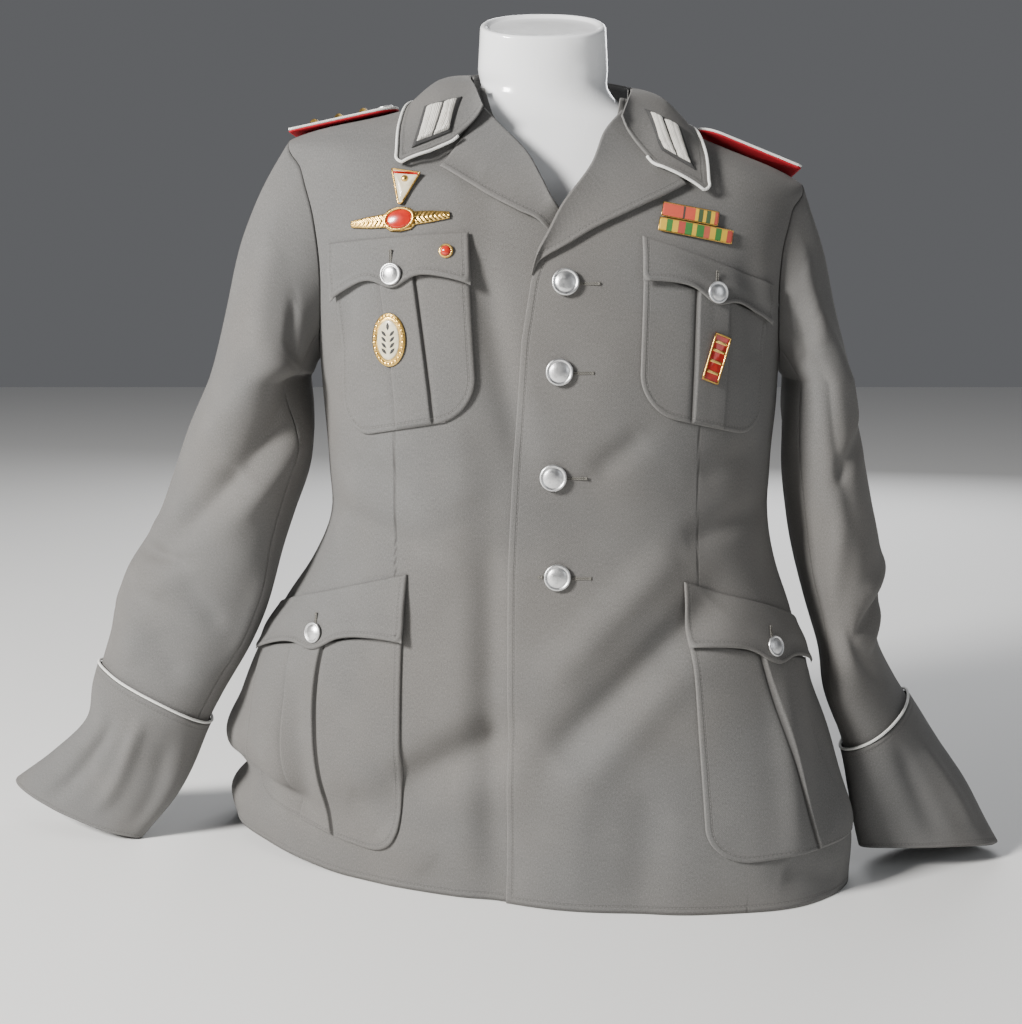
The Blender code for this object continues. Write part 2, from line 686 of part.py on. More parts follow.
def collar():
    stations = np.linspace(1, -1, 19)
    across = (0.0, 0.12, 0.3, 0.5, 0.75, 1.0)
    rows = [[collar_fall_point(t, w) for t in stations] for w in across[::-1]]
    sheet("collar_fall", rows, stone_grey())
    stand = []
    for w in (1.0, 0.5, 0.0):
        row = []
        for t in np.linspace(0.60, -0.60, 13):
            roll = collar_roll(t)
            foot_z = NECK_Z - 0.072 * roll.x + 0.0012
            foot = Vector((roll.x * 0.95, roll.y * 0.90, foot_z))
            top = Vector((roll.x * 0.968, roll.y * 0.968, roll.z - 0.0040))
            row.append(top.lerp(foot, w))
        stand.append(row)
    sheet("collar_stand", stand, stone_grey())


def collar_piping():
    white = material("white_piping", (0.80, 0.80, 0.78), 0.6)
    for side, sign in SIGN.items():
        edge = [collar_fall_point(sign * t, 1.0) for t in np.linspace(0.45, 1.0, 9)]
        front = [collar_fall_point(sign, w) for w in (0.84, 0.68, 0.52)]
        out = PIPING_R + 0.0014
        path = [p + Vector((sign * out * 0.8, -out * 0.6, 0.0)) for p in edge]
        path += [p + Vector((0.0, -out, -out * 0.9)) for p in front]
        tube(f"{side}_collar_piping", path, PIPING_R, white, sides=1)


def on_patch(side, across, along, lift):
    """A point lifted off a collar patch's place: across from its inner edge, along towards the front end."""
    (t0, w0), (t1, w1), (t2, w2), (t3, w3) = PATCH_CORNERS[side]
    t = (t0 + (t1 - t0) * across) * (1 - along) + (t2 + (t3 - t2) * across) * along
    w = (w0 + (w1 - w0) * across) * (1 - along) + (w2 + (w3 - w2) * across) * along
    t *= SIGN[side]
    step = 0.01
    ahead = collar_fall_point(t + step, w) - collar_fall_point(t - step, w)
    down = collar_fall_point(t, w + step) - collar_fall_point(t, w - step)
    out = ahead.cross(down).normalized()
    return collar_fall_point(t, w) + out * math.copysign(lift, out.z)


def collar_patch(side):
    """The patch on a collar point: a dark felt ground under two raised bars of braid."""
    dark = material("dark_felt", (0.06, 0.06, 0.06), 0.9)
    silver = material("silver_braid", (0.75, 0.74, 0.70), 0.5)
    turned_over = -1 if SIGN[side] > 0 else 1
    rows = []
    for across in (1, 0.67, 0.33, 0):
        row = [on_patch(side, across, along, LIE_GAP * 1.5) for along in np.linspace(0, 1, 7)]
        rows.append(row[::turned_over])
    sheet(f"{side}_collar_patch", rows, dark, thickness=0.0014, grows=1)
    for number, (low, high) in enumerate(((0.10, 0.47), (0.53, 0.90))):
        bar = []
        for across in np.linspace(high, low, 3):
            row = [on_patch(side, across, along, LIE_GAP * 2.25 + 0.0014) for along in np.linspace(0.08, 0.93, 6)]
            bar.append(row[::turned_over])
        sheet(f"{side}_collar_bar_{number + 1}", bar, silver, thickness=0.0012, grows=1)


def lapel(side):
    """The turned front edge, lying on the chest and rolling over at the roll line."""
    tab, sign = LAPEL[side], SIGN[side]
    steps = np.arange(len(tab["roll_x"]))
    rows = []
    for t in np.linspace(len(steps) - 1, 0, 8):
        at = {name: float(np.interp(t, steps, tab[name])) for name in LAPEL_COLUMNS}
        row = []
        for w in np.linspace(0, 1, 6):
            x = at["roll_x"] + (at["edge_x"] - at["roll_x"]) * w
            z = at["roll_z"] + (at["edge_z"] - at["roll_z"]) * w
            level, s = front_at(x, z)
            lift = LIE_GAP * 0.8 + 0.0045 * (1 - w) ** 2
            if side == "right":
                lift -= overlap_inset(level, x) * 0.4
            row.append(body_point(level, s) + body_normal(level, s) * lift)
        rows.append(row if sign > 0 else row[::-1])
    return sheet(f"{side}_lapel", rows, stone_grey(), grows=1)


def pocket_point(row, u, down):
    """(height, distance along the cloth) on a pocket: u across it outwards and down from its top edge."""
    part = min(max(down / row["height"], 0.0), 1.0)
    slant = row["slant"] + (row["slant_low"] - row["slant"]) * part
    s = row["start"] + row["lean"] * down + row["width"] * u * (1 + row["spread"] * part)
    return row["top"] - slant * row["width"] * u - down, row["side"] * s


def pocket(row):
    """A patch pocket with round lower corners and a box pleat, made from the coat's points moved out."""
    r, height, width = POCKET_CORNER_R, row["height"], row["width"]
    lift = LIE_GAP * (1.3 if "chest" in row["name"] else 1.5)
    grid = []
    for drop in (1.0, 0.975, 0.93, 0.87, 0.79, 0.70, 0.61, 0.52, 0.43, 0.31, 0.19):
        rise = height * (1 - drop)
        cut = r - math.sqrt(max(r * r - max(r - rise, 0.0) ** 2, 0.0))
        line = []
        half_pleat = row["pleat"] / 2 / width
        low, high = cut / width, 1 - cut / width
        middle = 0.5 + (row["pleat_lean"] * drop * height + row["pleat_bow"] * math.sin(math.pi * drop)) / width
        fold = [middle + d for d in (-half_pleat - 0.012, -half_pleat, 0, half_pleat, half_pleat + 0.012)]
        sides = [low + (fold[0] - low) * t for t in (0, 0.3, 0.65)]
        sides += [high + (fold[-1] - high) * t for t in (0.65, 0.3, 0)]
        for u in sorted([*sides, *fold]):
            raised = PLEAT_RISE if abs(u - middle) <= half_pleat + 1e-6 else 0.0
            z, s = pocket_point(row, u, height * drop)
            z = max(z, 0.004)
            p = body_point(z, s) + body_normal(z, s) * (lift + raised)
            p.z += hem_z(z, p.x)
            line.append(p)
        grid.append(line if row["side"] > 0 else line[::-1])
    return sheet(f"{row['name']}_pocket", grid, stone_grey(), thickness=0.0015, grows=1)


def flap_depth(row, u):
    """The scalloped lower edge: a point in the middle, a dip beside it and full corners."""
    c = abs(2 * u - 1)
    point = (row["point"] - row["dip"]) * math.exp(-((c / 0.24) ** 2))
    return row["dip"] + point + (row["end"] - row["dip"]) * c**2.2


def pocket_flap(row):
    grid = []
    for v in (1.0, 0.72, 0.4, 0.1, 0.0):
        line = []
        for u in np.linspace(-0.015, 1.015, 13):
            z, s = pocket_point(row, u, flap_depth(row, u) * v - 0.003)
            lift = LIE_GAP * 1.3 + (PLEAT_RISE + 0.0015 + 0.0006) * ease(v, 0.0, 0.6)
            line.append(body_point(z, s) + body_normal(z, s) * lift)
        grid.append(line if row["side"] > 0 else line[::-1])
    return sheet(f"{row['name']}_flap", grid, stone_grey(), grows=1)


def button_profile(r):
    """A domed face with a rolled rim, over a flat back."""
    return ((0, 0), (r * 0.80, 0), (r, r * 0.12), (r * 0.97, r * 0.24), (r * 0.78, r * 0.26), (r * 0.45, r * 0.38), (0, r * 0.42))


def buttons():
    silver = material("matt_silver", (0.80, 0.81, 0.82), 0.35, 1.0)
    for number, (z, x) in enumerate(zip(BUTTON_Z, BUTTON_X)):
        level, s = front_at(x, z)
        place = place_on_body(level, s, LIE_GAP * 0.7)
        turned(f"front_button_{number + 1}", button_profile(BUTTON_R), silver, 16, place)


def flap_button(row):
    silver = material("matt_silver", (0.80, 0.81, 0.82), 0.35, 1.0)
    z, s = pocket_point(row, 0.5, row["point"] * 0.66)
    lift = LIE_GAP * 1.3 + PLEAT_RISE + 0.0015 + 0.0006 + CLOTH + 0.0005
    place = place_on_body(z, s, lift)
    turned(f"{row['name']}_flap_button", button_profile(SMALL_BUTTON_R), silver, 14, place)


def round_ended(length, width, points=7):
    """A strip's outline with a round end at its own origin side."""
    r = width / 2
    arc = [math.radians(a) for a in np.linspace(90, 270, points)]
    outline = [(r + r * math.cos(a), r * math.sin(a)) for a in arc]
    return outline + [(length, -r), (length, r)]


def shoulder_board(side):
    """A stiff board of red felt under silver braid, along the shoulder seam."""
    sign = SIGN[side]
    inner_x, outer_x = sign * BOARD_START_X[side], sign * (BOARD_START_X[side] + 0.067)
    start = Vector((inner_x, 0, top_z(inner_x, 0)))
    end = Vector((outer_x, 0, top_z(outer_x, 0)))
    along = (end - start).normalized()
    tilt = math.radians(BOARD_TILT_DEG[side]) * sign
    level = Vector((0, sign, 0))
    across = level * math.cos(tilt) - along.cross(level) * math.sin(tilt)
    out = along.cross(across)
    turn = Matrix((along, across, out)).transposed().to_4x4()
    red = material("red_felt", (0.45, 0.03, 0.05), 0.85)
    silver = material("silver_braid", (0.75, 0.74, 0.70), 0.5)
    gold = material("gilt", (0.83, 0.62, 0.22), 0.3, 1.0)

    def laid(lift, shift=0.0, aside=0.0):
        return Matrix.Translation(start + out * lift + along * shift + across * aside) @ turn

    foot = 0.0
    for _ in range(12):
        depth = -1.0
        for step in np.linspace(0, 1.35, 9):
            for aside in (-0.022, -0.011, 0.0, 0.011, 0.022):
                under = start + (end - start) * step + across * aside + out * foot
                depth = max(depth, top_z(under.x, under.y) - under.z)
        foot += (depth + 0.0005) * 0.8
    plate(f"{side}_board_felt", round_ended(BOARD_LENGTH, BOARD_WIDTH), BOARD_FELT, red, laid(foot))
    foot += BOARD_FELT + 0.0003
    inset = 0.004
    braid = round_ended(BOARD_LENGTH - inset, BOARD_WIDTH - 2 * inset)
    plate(f"{side}_board_braid", braid, BOARD_BRAID, silver, laid(foot, inset))
    foot += BOARD_BRAID + 0.0003
    pip = ((0, 0), (PIP_R, 0), (PIP_R * 0.55, PIP_R * 0.55), (0, PIP_R * 0.85))
    for number, step in enumerate(PIP_STEPS):
        turned(f"{side}_pip_{number + 1}", pip, gold, 8, laid(foot, BOARD_LENGTH - step))
    matt = material("matt_silver", (0.80, 0.81, 0.82), 0.35, 1.0)
    turned(f"{side}_board_button", button_profile(0.0075), matt, 12, laid(foot, 0.012))


def oval(rx, ry, points=16):
    return [(rx * math.cos(a), ry * math.sin(a)) for a in np.linspace(0, math.tau, points, endpoint=False)]


def insignia():
    """Plain pins and ribbon bars on the chest."""
    gold = material("gilt", (0.83, 0.62, 0.22), 0.3, 1.0)
    cream = material("cream_enamel", (0.75, 0.70, 0.52), 0.3)
    red = material("red_enamel", (0.60, 0.06, 0.03), 0.3)
    ribbon = material("ribbon", (0.62, 0.20, 0.08), 0.8)

    def at_view(x, z, lift, spin=0.0):
        level, s = front_at(x, z)
        return place_on_body(level, s, lift, spin)

    lying = 0.0009
    def strip(name, x, z, spin, half_heights, thickness, finish, lift):
        """A narrow piece that follows the coat, from (distance along it, half height) pairs."""
        turn = math.radians(spin)
        rows = []
        for end in (-1, 0, 1):
            row = []
            for along, half in half_heights:
                dx = along * math.cos(turn) - end * half * math.sin(turn)
                dz = along * math.sin(turn) + end * half * math.cos(turn)
                level, s = front_at(x + dx, z + dz)
                row.append(body_point(level, s) + body_normal(level, s) * lift)
            rows.append(row)
        sheet(name, rows, finish, thickness=thickness, grows=1)

    triangle = [(-0.0125, 0.017), (-0.0015, -0.0145), (0.0015, -0.0145), (0.0135, 0.015)]
    plate("triangle_pin", triangle, 0.0018, cream, at_view(-0.129, 0.629, lying - 0.0004, -9))
    wings = [(-0.043, 0.003), (-0.028, 0.005), (-0.013, 0.006), (-0.009, 0.0095), (0.0, 0.0105),
             (0.009, 0.0095), (0.013, 0.006), (0.028, 0.005), (0.043, 0.003)]
    strip("wing_clasp", -0.131, 0.602, 5, wings, 0.0022, gold, lying)
    pocket_lift = LIE_GAP * 1.3 + PLEAT_RISE + 0.0015 + 0.0005
    plate("oval_badge", oval(0.0165, 0.0235), 0.0025, gold, at_view(-0.139, 0.500, pocket_lift, 0))
    tab = [(-0.008, -0.021), (0.008, -0.021), (0.008, 0.021), (-0.008, 0.021)]
    plate("red_plaque", tab, 0.0018, red, at_view(0.138, 0.484, pocket_lift, -18))
    flap_lift = LIE_GAP * 1.3 + CLOTH + 0.0014
    gem = ((0, 0), (0.0055, 0), (0.0060, 0.0020), (0.0030, 0.0050), (0, 0.0055))
    turned("small_pin", gem, gold, 8, at_view(-0.090, 0.574, flap_lift + 0.0018))
    upper = [(d, 0.0058) for d in np.linspace(-0.0245, 0.0245, 5)]
    lower = [(d, 0.0056) for d in np.linspace(-0.0325, 0.0325, 6)]
    strip("ribbon_bar_upper", 0.118, 0.6065, -10, upper, 0.0024, ribbon, lying)
    strip("ribbon_bar_lower", 0.1225, 0.5925, -10, lower, 0.0024, ribbon, lying)


def torso_form():
    """The smooth limbless form, closed at its base and at the slanted cut of the neck."""
    bm = bmesh.new()
    columns = 28
    rings = []
    levels = list(FORM["z"]) + [0.05, 0.15, 0.245, 0.335, 0.425, 0.612, 0.690, 0.714]
    for z in sorted(levels):
        power = 2 / smooth(FORM, "square", z)
        ring = []
        for i in range(columns):
            a = math.tau * i / columns
            c, s = math.cos(a), math.sin(a)
            depth = smooth(FORM, "back" if s > 0 else "front", z)
            x = smooth(FORM, "half", z) * math.copysign(abs(c) ** power, c)
            y = depth * math.copysign(abs(s) ** power, s)
            cut = NECK_CUT_SLOPE * y * ease(z, 0.70, 0.776) + smooth(FORM, "lean", z) * x
            ring.append(bm.verts.new((x + NECK_SHIFT * ease(z, 0.697, 0.735), y, z + cut)))
        rings.append(ring)
    for low, high in zip(rings, rings[1:]):
        for i in range(columns):
            j = (i + 1) % columns
            bm.faces.new((low[i], low[j], high[j], high[i]))
    bm.faces.new(rings[0][::-1])
    bm.faces.new(rings[-1])
    white = material("white_plastic", (0.85, 0.86, 0.88), 0.2)
    return new_object("torso_form", bm, white)


def clear_scene():
    for old in list(bpy.data.objects):
        bpy.data.objects.remove(old)


def main():
    clear_scene()
    torso_form()
    for side in SIGN:
        front_panel(side)
        back_panel(side)
        sleeve_panels(side)
        cuff(side)
        lapel(side)
        shoulder_board(side)
        collar_patch(side)
    collar()
    collar_piping()
    for values in POCKET_ROWS:
        row = dict(zip(POCKET_COLUMNS, values))
        pocket(row)
        pocket_flap(row)
        flap_button(row)
    buttons()
    insignia()


main()
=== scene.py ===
"""The looks of a grey officer's tunic on a glossy torso form: cloth, seams, braid, buttons and pins.

Metres, +Z up, the front towards -Y. Left and right are the wearer's, so the right side is at -X.
The shell tables are those of the solids, so each sheet lies where its solid does.
"""

import functools
import math

import bmesh
import bpy
import numpy as np
from mathutils import Matrix, Vector


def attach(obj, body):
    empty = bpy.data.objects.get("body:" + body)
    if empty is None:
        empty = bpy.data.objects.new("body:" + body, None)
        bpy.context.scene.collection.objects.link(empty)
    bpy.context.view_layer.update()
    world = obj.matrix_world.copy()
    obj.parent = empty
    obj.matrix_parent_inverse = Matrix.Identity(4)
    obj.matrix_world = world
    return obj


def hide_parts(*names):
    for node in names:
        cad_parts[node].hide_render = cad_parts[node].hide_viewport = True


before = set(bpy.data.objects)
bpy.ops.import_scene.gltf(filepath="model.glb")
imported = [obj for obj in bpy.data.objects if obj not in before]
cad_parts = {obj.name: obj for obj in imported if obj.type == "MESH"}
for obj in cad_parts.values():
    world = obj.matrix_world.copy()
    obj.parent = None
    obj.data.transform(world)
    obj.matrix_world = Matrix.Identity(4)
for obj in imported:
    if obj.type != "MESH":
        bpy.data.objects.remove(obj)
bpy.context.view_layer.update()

SIGN = {"right": -1, "left": 1}
CLOTH = 0.0018
SEAM_GAP = 0.00008

ARMPIT_Z = 0.475
SHOULDER_Z = 0.660
NECK_Z = 0.716

BODY_COLUMNS = ("z", "right", "left", "front", "back", "square", "turn_right", "turn_left", "lean")
BODY_ROWS = (
    (0.000, 0.318, 0.281, 0.154, 0.150, 2.3, 0.28, 0.19, 0.000),
    (0.030, 0.323, 0.283, 0.154, 0.150, 2.3, 0.27, 0.18, 0.000),
    (0.062, 0.304, 0.280, 0.154, 0.149, 2.3, 0.25, 0.17, 0.000),
    (0.095, 0.323, 0.271, 0.155, 0.147, 2.3, 0.22, 0.15, 0.000),
    (0.150, 0.303, 0.256, 0.152, 0.142, 2.3, 0.17, 0.12, 0.000),
    (0.200, 0.281, 0.240, 0.148, 0.135, 2.3, 0.12, 0.09, 0.000),
    (0.250, 0.252, 0.226, 0.143, 0.126, 2.3, 0.08, 0.06, 0.000),
    (0.290, 0.225, 0.213, 0.140, 0.117, 2.3, 0.04, 0.03, 0.000),
    (0.330, 0.207, 0.206, 0.138, 0.111, 2.3, 0.01, 0.01, 0.000),
    (0.380, 0.206, 0.206, 0.139, 0.113, 2.3, 0.00, 0.00, 0.000),
    (0.440, 0.210, 0.210, 0.139, 0.118, 2.3, 0.00, 0.00, -0.010),
    (0.490, 0.215, 0.213, 0.136, 0.121, 2.3, 0.00, 0.00, -0.030),
    (0.540, 0.222, 0.219, 0.130, 0.120, 2.3, 0.00, 0.00, -0.050),
    (0.590, 0.232, 0.226, 0.117, 0.112, 2.3, 0.00, 0.00, -0.070),
    (0.630, 0.239, 0.231, 0.100, 0.098, 2.3, 0.00, 0.00, -0.083),
    (0.655, 0.240, 0.232, 0.085, 0.084, 2.2, 0.00, 0.00, -0.083),
    (0.668, 0.212, 0.206, 0.076, 0.077, 2.1, 0.00, 0.00, -0.083),
    (0.682, 0.166, 0.162, 0.067, 0.069, 2.0, 0.00, 0.00, -0.083),
    (0.697, 0.118, 0.116, 0.059, 0.063, 2.0, 0.00, 0.00, -0.080),
    (0.708, 0.088, 0.088, 0.055, 0.061, 2.0, 0.00, 0.00, -0.075),
    (0.720, 0.072, 0.072, 0.053, 0.060, 2.0, 0.00, 0.00, -0.070),
)

ARMHOLE_COLUMNS = ("z", "front", "back")
ARMHOLE_ROWS = (
    (0.475, 0.000, 0.000),
    (0.480, 0.021, 0.021),
    (0.495, 0.040, 0.042),
    (0.525, 0.056, 0.060),
    (0.570, 0.064, 0.068),
    (0.610, 0.056, 0.060),
    (0.640, 0.038, 0.040),
    (0.655, 0.018, 0.018),
    (0.660, 0.000, 0.000),
)

EDGE_COLUMNS = ("z", "left", "right")
EDGE_ROWS = (
    (0.000, -0.041, 0.018),
    (0.300, -0.039, 0.018),
    (0.400, -0.034, 0.018),
    (0.500, -0.027, 0.018),
    (0.550, -0.019, 0.018),
    (0.576, -0.010, 0.014),
    (0.608, 0.007, 0.002),
    (0.650, 0.034, -0.020),
    (0.690, 0.056, -0.052),
    (0.716, 0.062, -0.060),
)

SLEEVE_COLUMNS = ("z", "x", "y", "long", "short", "turn", "tilt_out", "tilt_back")
RIGHT_SLEEVE_ROWS = (
    (0.018, 0.478, 0.062, 0.082, 0.026, 30, 0.22, 0.00),
    (0.060, 0.436, 0.044, 0.074, 0.031, 27, 0.16, 0.00),
    (0.120, 0.394, 0.026, 0.060, 0.040, 18, 0.05, 0.00),
    (0.158, 0.380, 0.020, 0.069, 0.040, 20, 0.00, 0.00),
    (0.208, 0.357, 0.015, 0.077, 0.044, 25, 0.00, 0.00),
    (0.276, 0.333, 0.010, 0.086, 0.054, 38, 0.00, 0.00),
    (0.334, 0.306, 0.006, 0.080, 0.060, 58, 0.00, 0.00),
    (0.411, 0.2805, 0.005, 0.082, 0.059, 72, 0.00, 0.00),
    (0.460, 0.271, 0.005, 0.086, 0.048, 82, 0.00, 0.00),
)
LEFT_SLEEVE_ROWS = (
    (0.013, 0.367, -0.030, 0.070, 0.032, 17, 0.00, -0.30),
    (0.070, 0.345, -0.022, 0.069, 0.034, 36, 0.00, -0.12),
    (0.125, 0.321, -0.010, 0.068, 0.034, 58, 0.00, 0.00),
    (0.170, 0.299, -0.002, 0.072, 0.032, 68, 0.00, 0.00),
    (0.208, 0.288, 0.004, 0.075, 0.029, 78, 0.00, 0.00),
    (0.286, 0.277, 0.008, 0.079, 0.041, 84, 0.00, 0.00),
    (0.350, 0.265, 0.008, 0.083, 0.040, 86, 0.00, 0.00),
    (0.410, 0.255, 0.006, 0.084, 0.036, 88, 0.00, 0.00),
    (0.460, 0.251, 0.005, 0.084, 0.030, 88, 0.00, 0.00),
)
SLEEVE_FOOT_Z = {"right": 0.018, "left": 0.013}
SECTION_TOP_Z = 0.460
SLEEVE_HEAD_PUFF = {"right": 0.013, "left": 0.003}
FORE_SEAM_DEG = 140
HIND_SEAM_DEG = 280
CUFF_TOP_Z = {"right": 0.151, "left": 0.130}
CUFF_SLOPE = {"right": 0.026, "left": 0.018}

COLLAR_COLUMNS = ("roll_x", "roll_y", "roll_z", "mid_x", "mid_y", "edge_x", "edge_y")
COLLAR_ROWS = (
    (0.061, -0.075, 0.697, 0.086, -0.081, 0.133, -0.084),
    (0.068, -0.050, 0.714, 0.097, -0.059, 0.132, -0.057),
    (0.074, -0.008, 0.727, 0.101, -0.010, 0.123, -0.010),
    (0.071, 0.036, 0.734, 0.088, 0.039, 0.101, 0.040),
    (0.046, 0.065, 0.740, 0.054, 0.069, 0.061, 0.064),
    (0.000, 0.076, 0.742, 0.000, 0.077, 0.000, 0.068),
)
COLLAR_LIFT = 0.0052
COLLAR_SLOPE = 0.072
# (station, way across the fall) at a collar patch's inner and outer top corners and at its inner and outer front ones
PATCH_CORNERS = {
    "right": ((0.830, 0.20), (0.785, 0.70), (0.970, 0.49), (0.970, 0.87)),
    "left": ((0.800, 0.22), (0.770, 0.70), (0.940, 0.55), (0.950, 0.88)),
}

LAPEL_COLUMNS = ("roll_x", "roll_z", "edge_x", "edge_z")
LEFT_LAPEL_ROWS = (
    (0.062, 0.695, 0.116, 0.632),
    (0.046, 0.675, 0.097, 0.622),
    (0.034, 0.646, 0.068, 0.609),
    (0.010, 0.614, 0.036, 0.594),
    (-0.003, 0.590, 0.012, 0.580),
    (-0.014, 0.570, -0.011, 0.567),
    (-0.0185, 0.5555, -0.0178, 0.5548),
)
RIGHT_LAPEL_ROWS = (
    (-0.060, 0.696, -0.0975, 0.648),
    (-0.046, 0.680, -0.080, 0.637),
    (-0.024, 0.657, -0.056, 0.622),
    (-0.011, 0.634, -0.031, 0.609),
    (-0.002, 0.617, -0.015, 0.602),
    (0.007, 0.607, -0.003, 0.5925),
    (0.015, 0.599, 0.008, 0.585),
)

POCKET_COLUMNS = (
    "name", "side", "start", "top", "width", "height", "slant", "slant_low", "lean", "spread",
    "pleat_lean", "pleat_bow", "point", "dip", "end", "pleat", "open",
)
POCKET_ROWS = (
    (
        "right_chest", -1, 0.074, 0.583, 0.132, 0.148, 0.12, 0.18, -0.065, 0.00,
        -0.080, 0.000, 0.040, 0.030, 0.043, 0.032, 0.0010,
    ),
    (
        "left_chest", 1, 0.078, 0.590, 0.128, 0.150, 0.27, 0.22, -0.030, 0.00,
        0.000, 0.000, 0.040, 0.030, 0.040, 0.032, 0.0014,
    ),
    (
        "right_skirt", -1, 0.132, 0.292, 0.182, 0.262, 0.27, -0.12, 0.050, 0.00,
        0.000, 0.018, 0.060, 0.048, 0.060, 0.040, 0.0022,
    ),
    (
        "left_skirt", 1, 0.118, 0.287, 0.158, 0.242, 0.32, -0.04, 0.075, 0.25,
        0.120, 0.000, 0.060, 0.048, 0.056, 0.040, 0.0030,
    ),
)
POCKET_CORNER_R = 0.034

BUTTON_Z = (0.549, 0.474, 0.384, 0.297)
BUTTON_X = (0.010, 0.005, 0.000, 0.004)
BUTTON_R = 0.0118
SMALL_BUTTON_R = 0.0096

FORM_COLUMNS = ("z", "half", "front", "back", "square", "lean")
FORM_ROWS = (
    (0.000, 0.166, 0.106, 0.098, 2.3, 0.000),
    (0.100, 0.170, 0.110, 0.102, 2.3, 0.000),
    (0.200, 0.160, 0.103, 0.094, 2.3, 0.000),
    (0.290, 0.154, 0.100, 0.088, 2.3, 0.000),
    (0.380, 0.164, 0.108, 0.092, 2.3, 0.000),
    (0.470, 0.176, 0.113, 0.098, 2.3, -0.020),
    (0.540, 0.180, 0.108, 0.104, 2.3, -0.050),
    (0.590, 0.180, 0.095, 0.100, 2.2, -0.070),
    (0.630, 0.176, 0.076, 0.088, 2.2, -0.083),
    (0.655, 0.172, 0.062, 0.074, 2.1, -0.083),
    (0.668, 0.167, 0.057, 0.069, 2.0, -0.083),
    (0.682, 0.150, 0.052, 0.062, 2.0, -0.083),
    (0.697, 0.110, 0.049, 0.058, 2.0, -0.080),
    (0.708, 0.074, 0.044, 0.052, 2.0, -0.070),
    (0.720, 0.060, 0.043, 0.050, 2.0, -0.040),
    (0.740, 0.059, 0.043, 0.050, 2.0, -0.010),
    (0.776, 0.057, 0.046, 0.050, 2.2, 0.000),
)
FORM_TOP = 0.776
NECK_CUT_SLOPE = 0.36
NECK_SHIFT = -0.007


def table(columns, rows):
    """The rows as named columns of numbers."""
    return {name: np.array([row[i] for row in rows]) for i, name in enumerate(columns)}


BODY = table(BODY_COLUMNS, BODY_ROWS)
ARMHOLE = table(ARMHOLE_COLUMNS, ARMHOLE_ROWS)
EDGE = table(EDGE_COLUMNS, EDGE_ROWS)
FORM = table(FORM_COLUMNS, FORM_ROWS)
COLLAR = table(COLLAR_COLUMNS, COLLAR_ROWS)
SLEEVE = {
    "right": table(SLEEVE_COLUMNS, RIGHT_SLEEVE_ROWS),
    "left": table(SLEEVE_COLUMNS, LEFT_SLEEVE_ROWS),
}
LAPEL = {
    "left": table(LAPEL_COLUMNS, LEFT_LAPEL_ROWS),
    "right": table(LAPEL_COLUMNS, RIGHT_LAPEL_ROWS),
}
POCKETS = {row[0]: dict(zip(POCKET_COLUMNS, row)) for row in POCKET_ROWS}


def column(tab, name, at, key="z"):
    """A column read at many places along a smooth curve through its rows."""
    x, y = tab[key], tab[name]
    at = np.clip(at, x[0], x[-1])
    i = np.clip(np.searchsorted(x, at) - 1, 0, len(x) - 2)
    slope = np.gradient(y, x)
    h = x[i + 1] - x[i]
    t = (at - x[i]) / h
    return (
        (2 * t**3 - 3 * t**2 + 1) * y[i]
        + (t**3 - 2 * t**2 + t) * h * slope[i]
        + (-2 * t**3 + 3 * t**2) * y[i + 1]
        + (t**3 - t**2) * h * slope[i + 1]
    )


def ease(x, low, high):
    """Runs smoothly from 0 to 1 as x goes from low to high."""
    t = np.clip((x - low) / (high - low), 0.0, 1.0)
    return t * t * (3 - 2 * t)


def unit(v):
    return v / np.maximum(np.linalg.norm(v, axis=-1, keepdims=True), 1e-12)


LEVEL_STEP = 0.00125
LEVELS = np.arange(0, 0.72001, LEVEL_STEP)
RING_POINTS = 1441
ACROSS_POINTS = 1201


@functools.lru_cache(maxsize=None)
def ring(z):
    """(distance along the cloth from the middle front, points) of the coat's ring at a height."""
    angle = np.radians(np.linspace(-270, 90, RING_POINTS))
    power = 2 / column(BODY, "square", z)
    cos, sin = np.cos(angle), np.sin(angle)
    side = np.where(cos > 0, column(BODY, "left", z), column(BODY, "right", z))
    depth = np.where(sin < 0, column(BODY, "front", z), column(BODY, "back", z))
    x = side * np.sign(cos) * np.abs(cos) ** power
    swing = np.where(x > 0, column(BODY, "turn_left", z), column(BODY, "turn_right", z))
    y = depth * np.sign(sin) * np.abs(sin) ** power - swing * x
    points = np.stack([x, y, z + column(BODY, "lean", z) * x], axis=1)
    along = np.concatenate([[0], np.cumsum(np.linalg.norm(np.diff(points, axis=0), axis=1))])
    return along - along[RING_POINTS // 2], points


def shell_table():
    """The shell read on a regular grid: rows by height, columns by part of the way round."""
    part = np.linspace(-1, 1, ACROSS_POINTS)
    shell = np.zeros((len(LEVELS), ACROSS_POINTS, 3))
    lengths = np.zeros((len(LEVELS), 4))
    for row, z in enumerate(LEVELS):
        along, points = ring(z)
        s = np.where(part < 0, -along[0] * part, along[-1] * part)
        for axis in range(3):
            shell[row, :, axis] = np.interp(s, along, points[:, axis])
        quarter = RING_POINTS // 4
        lengths[row] = (-along[0], along[-1], along[quarter], along[3 * quarter])
    return shell, lengths


SHELL, LENGTHS = shell_table()


def level_value(z, index):
    """One of the ring lengths in LENGTHS at heights z."""
    return np.interp(z, LEVELS, LENGTHS[:, index])


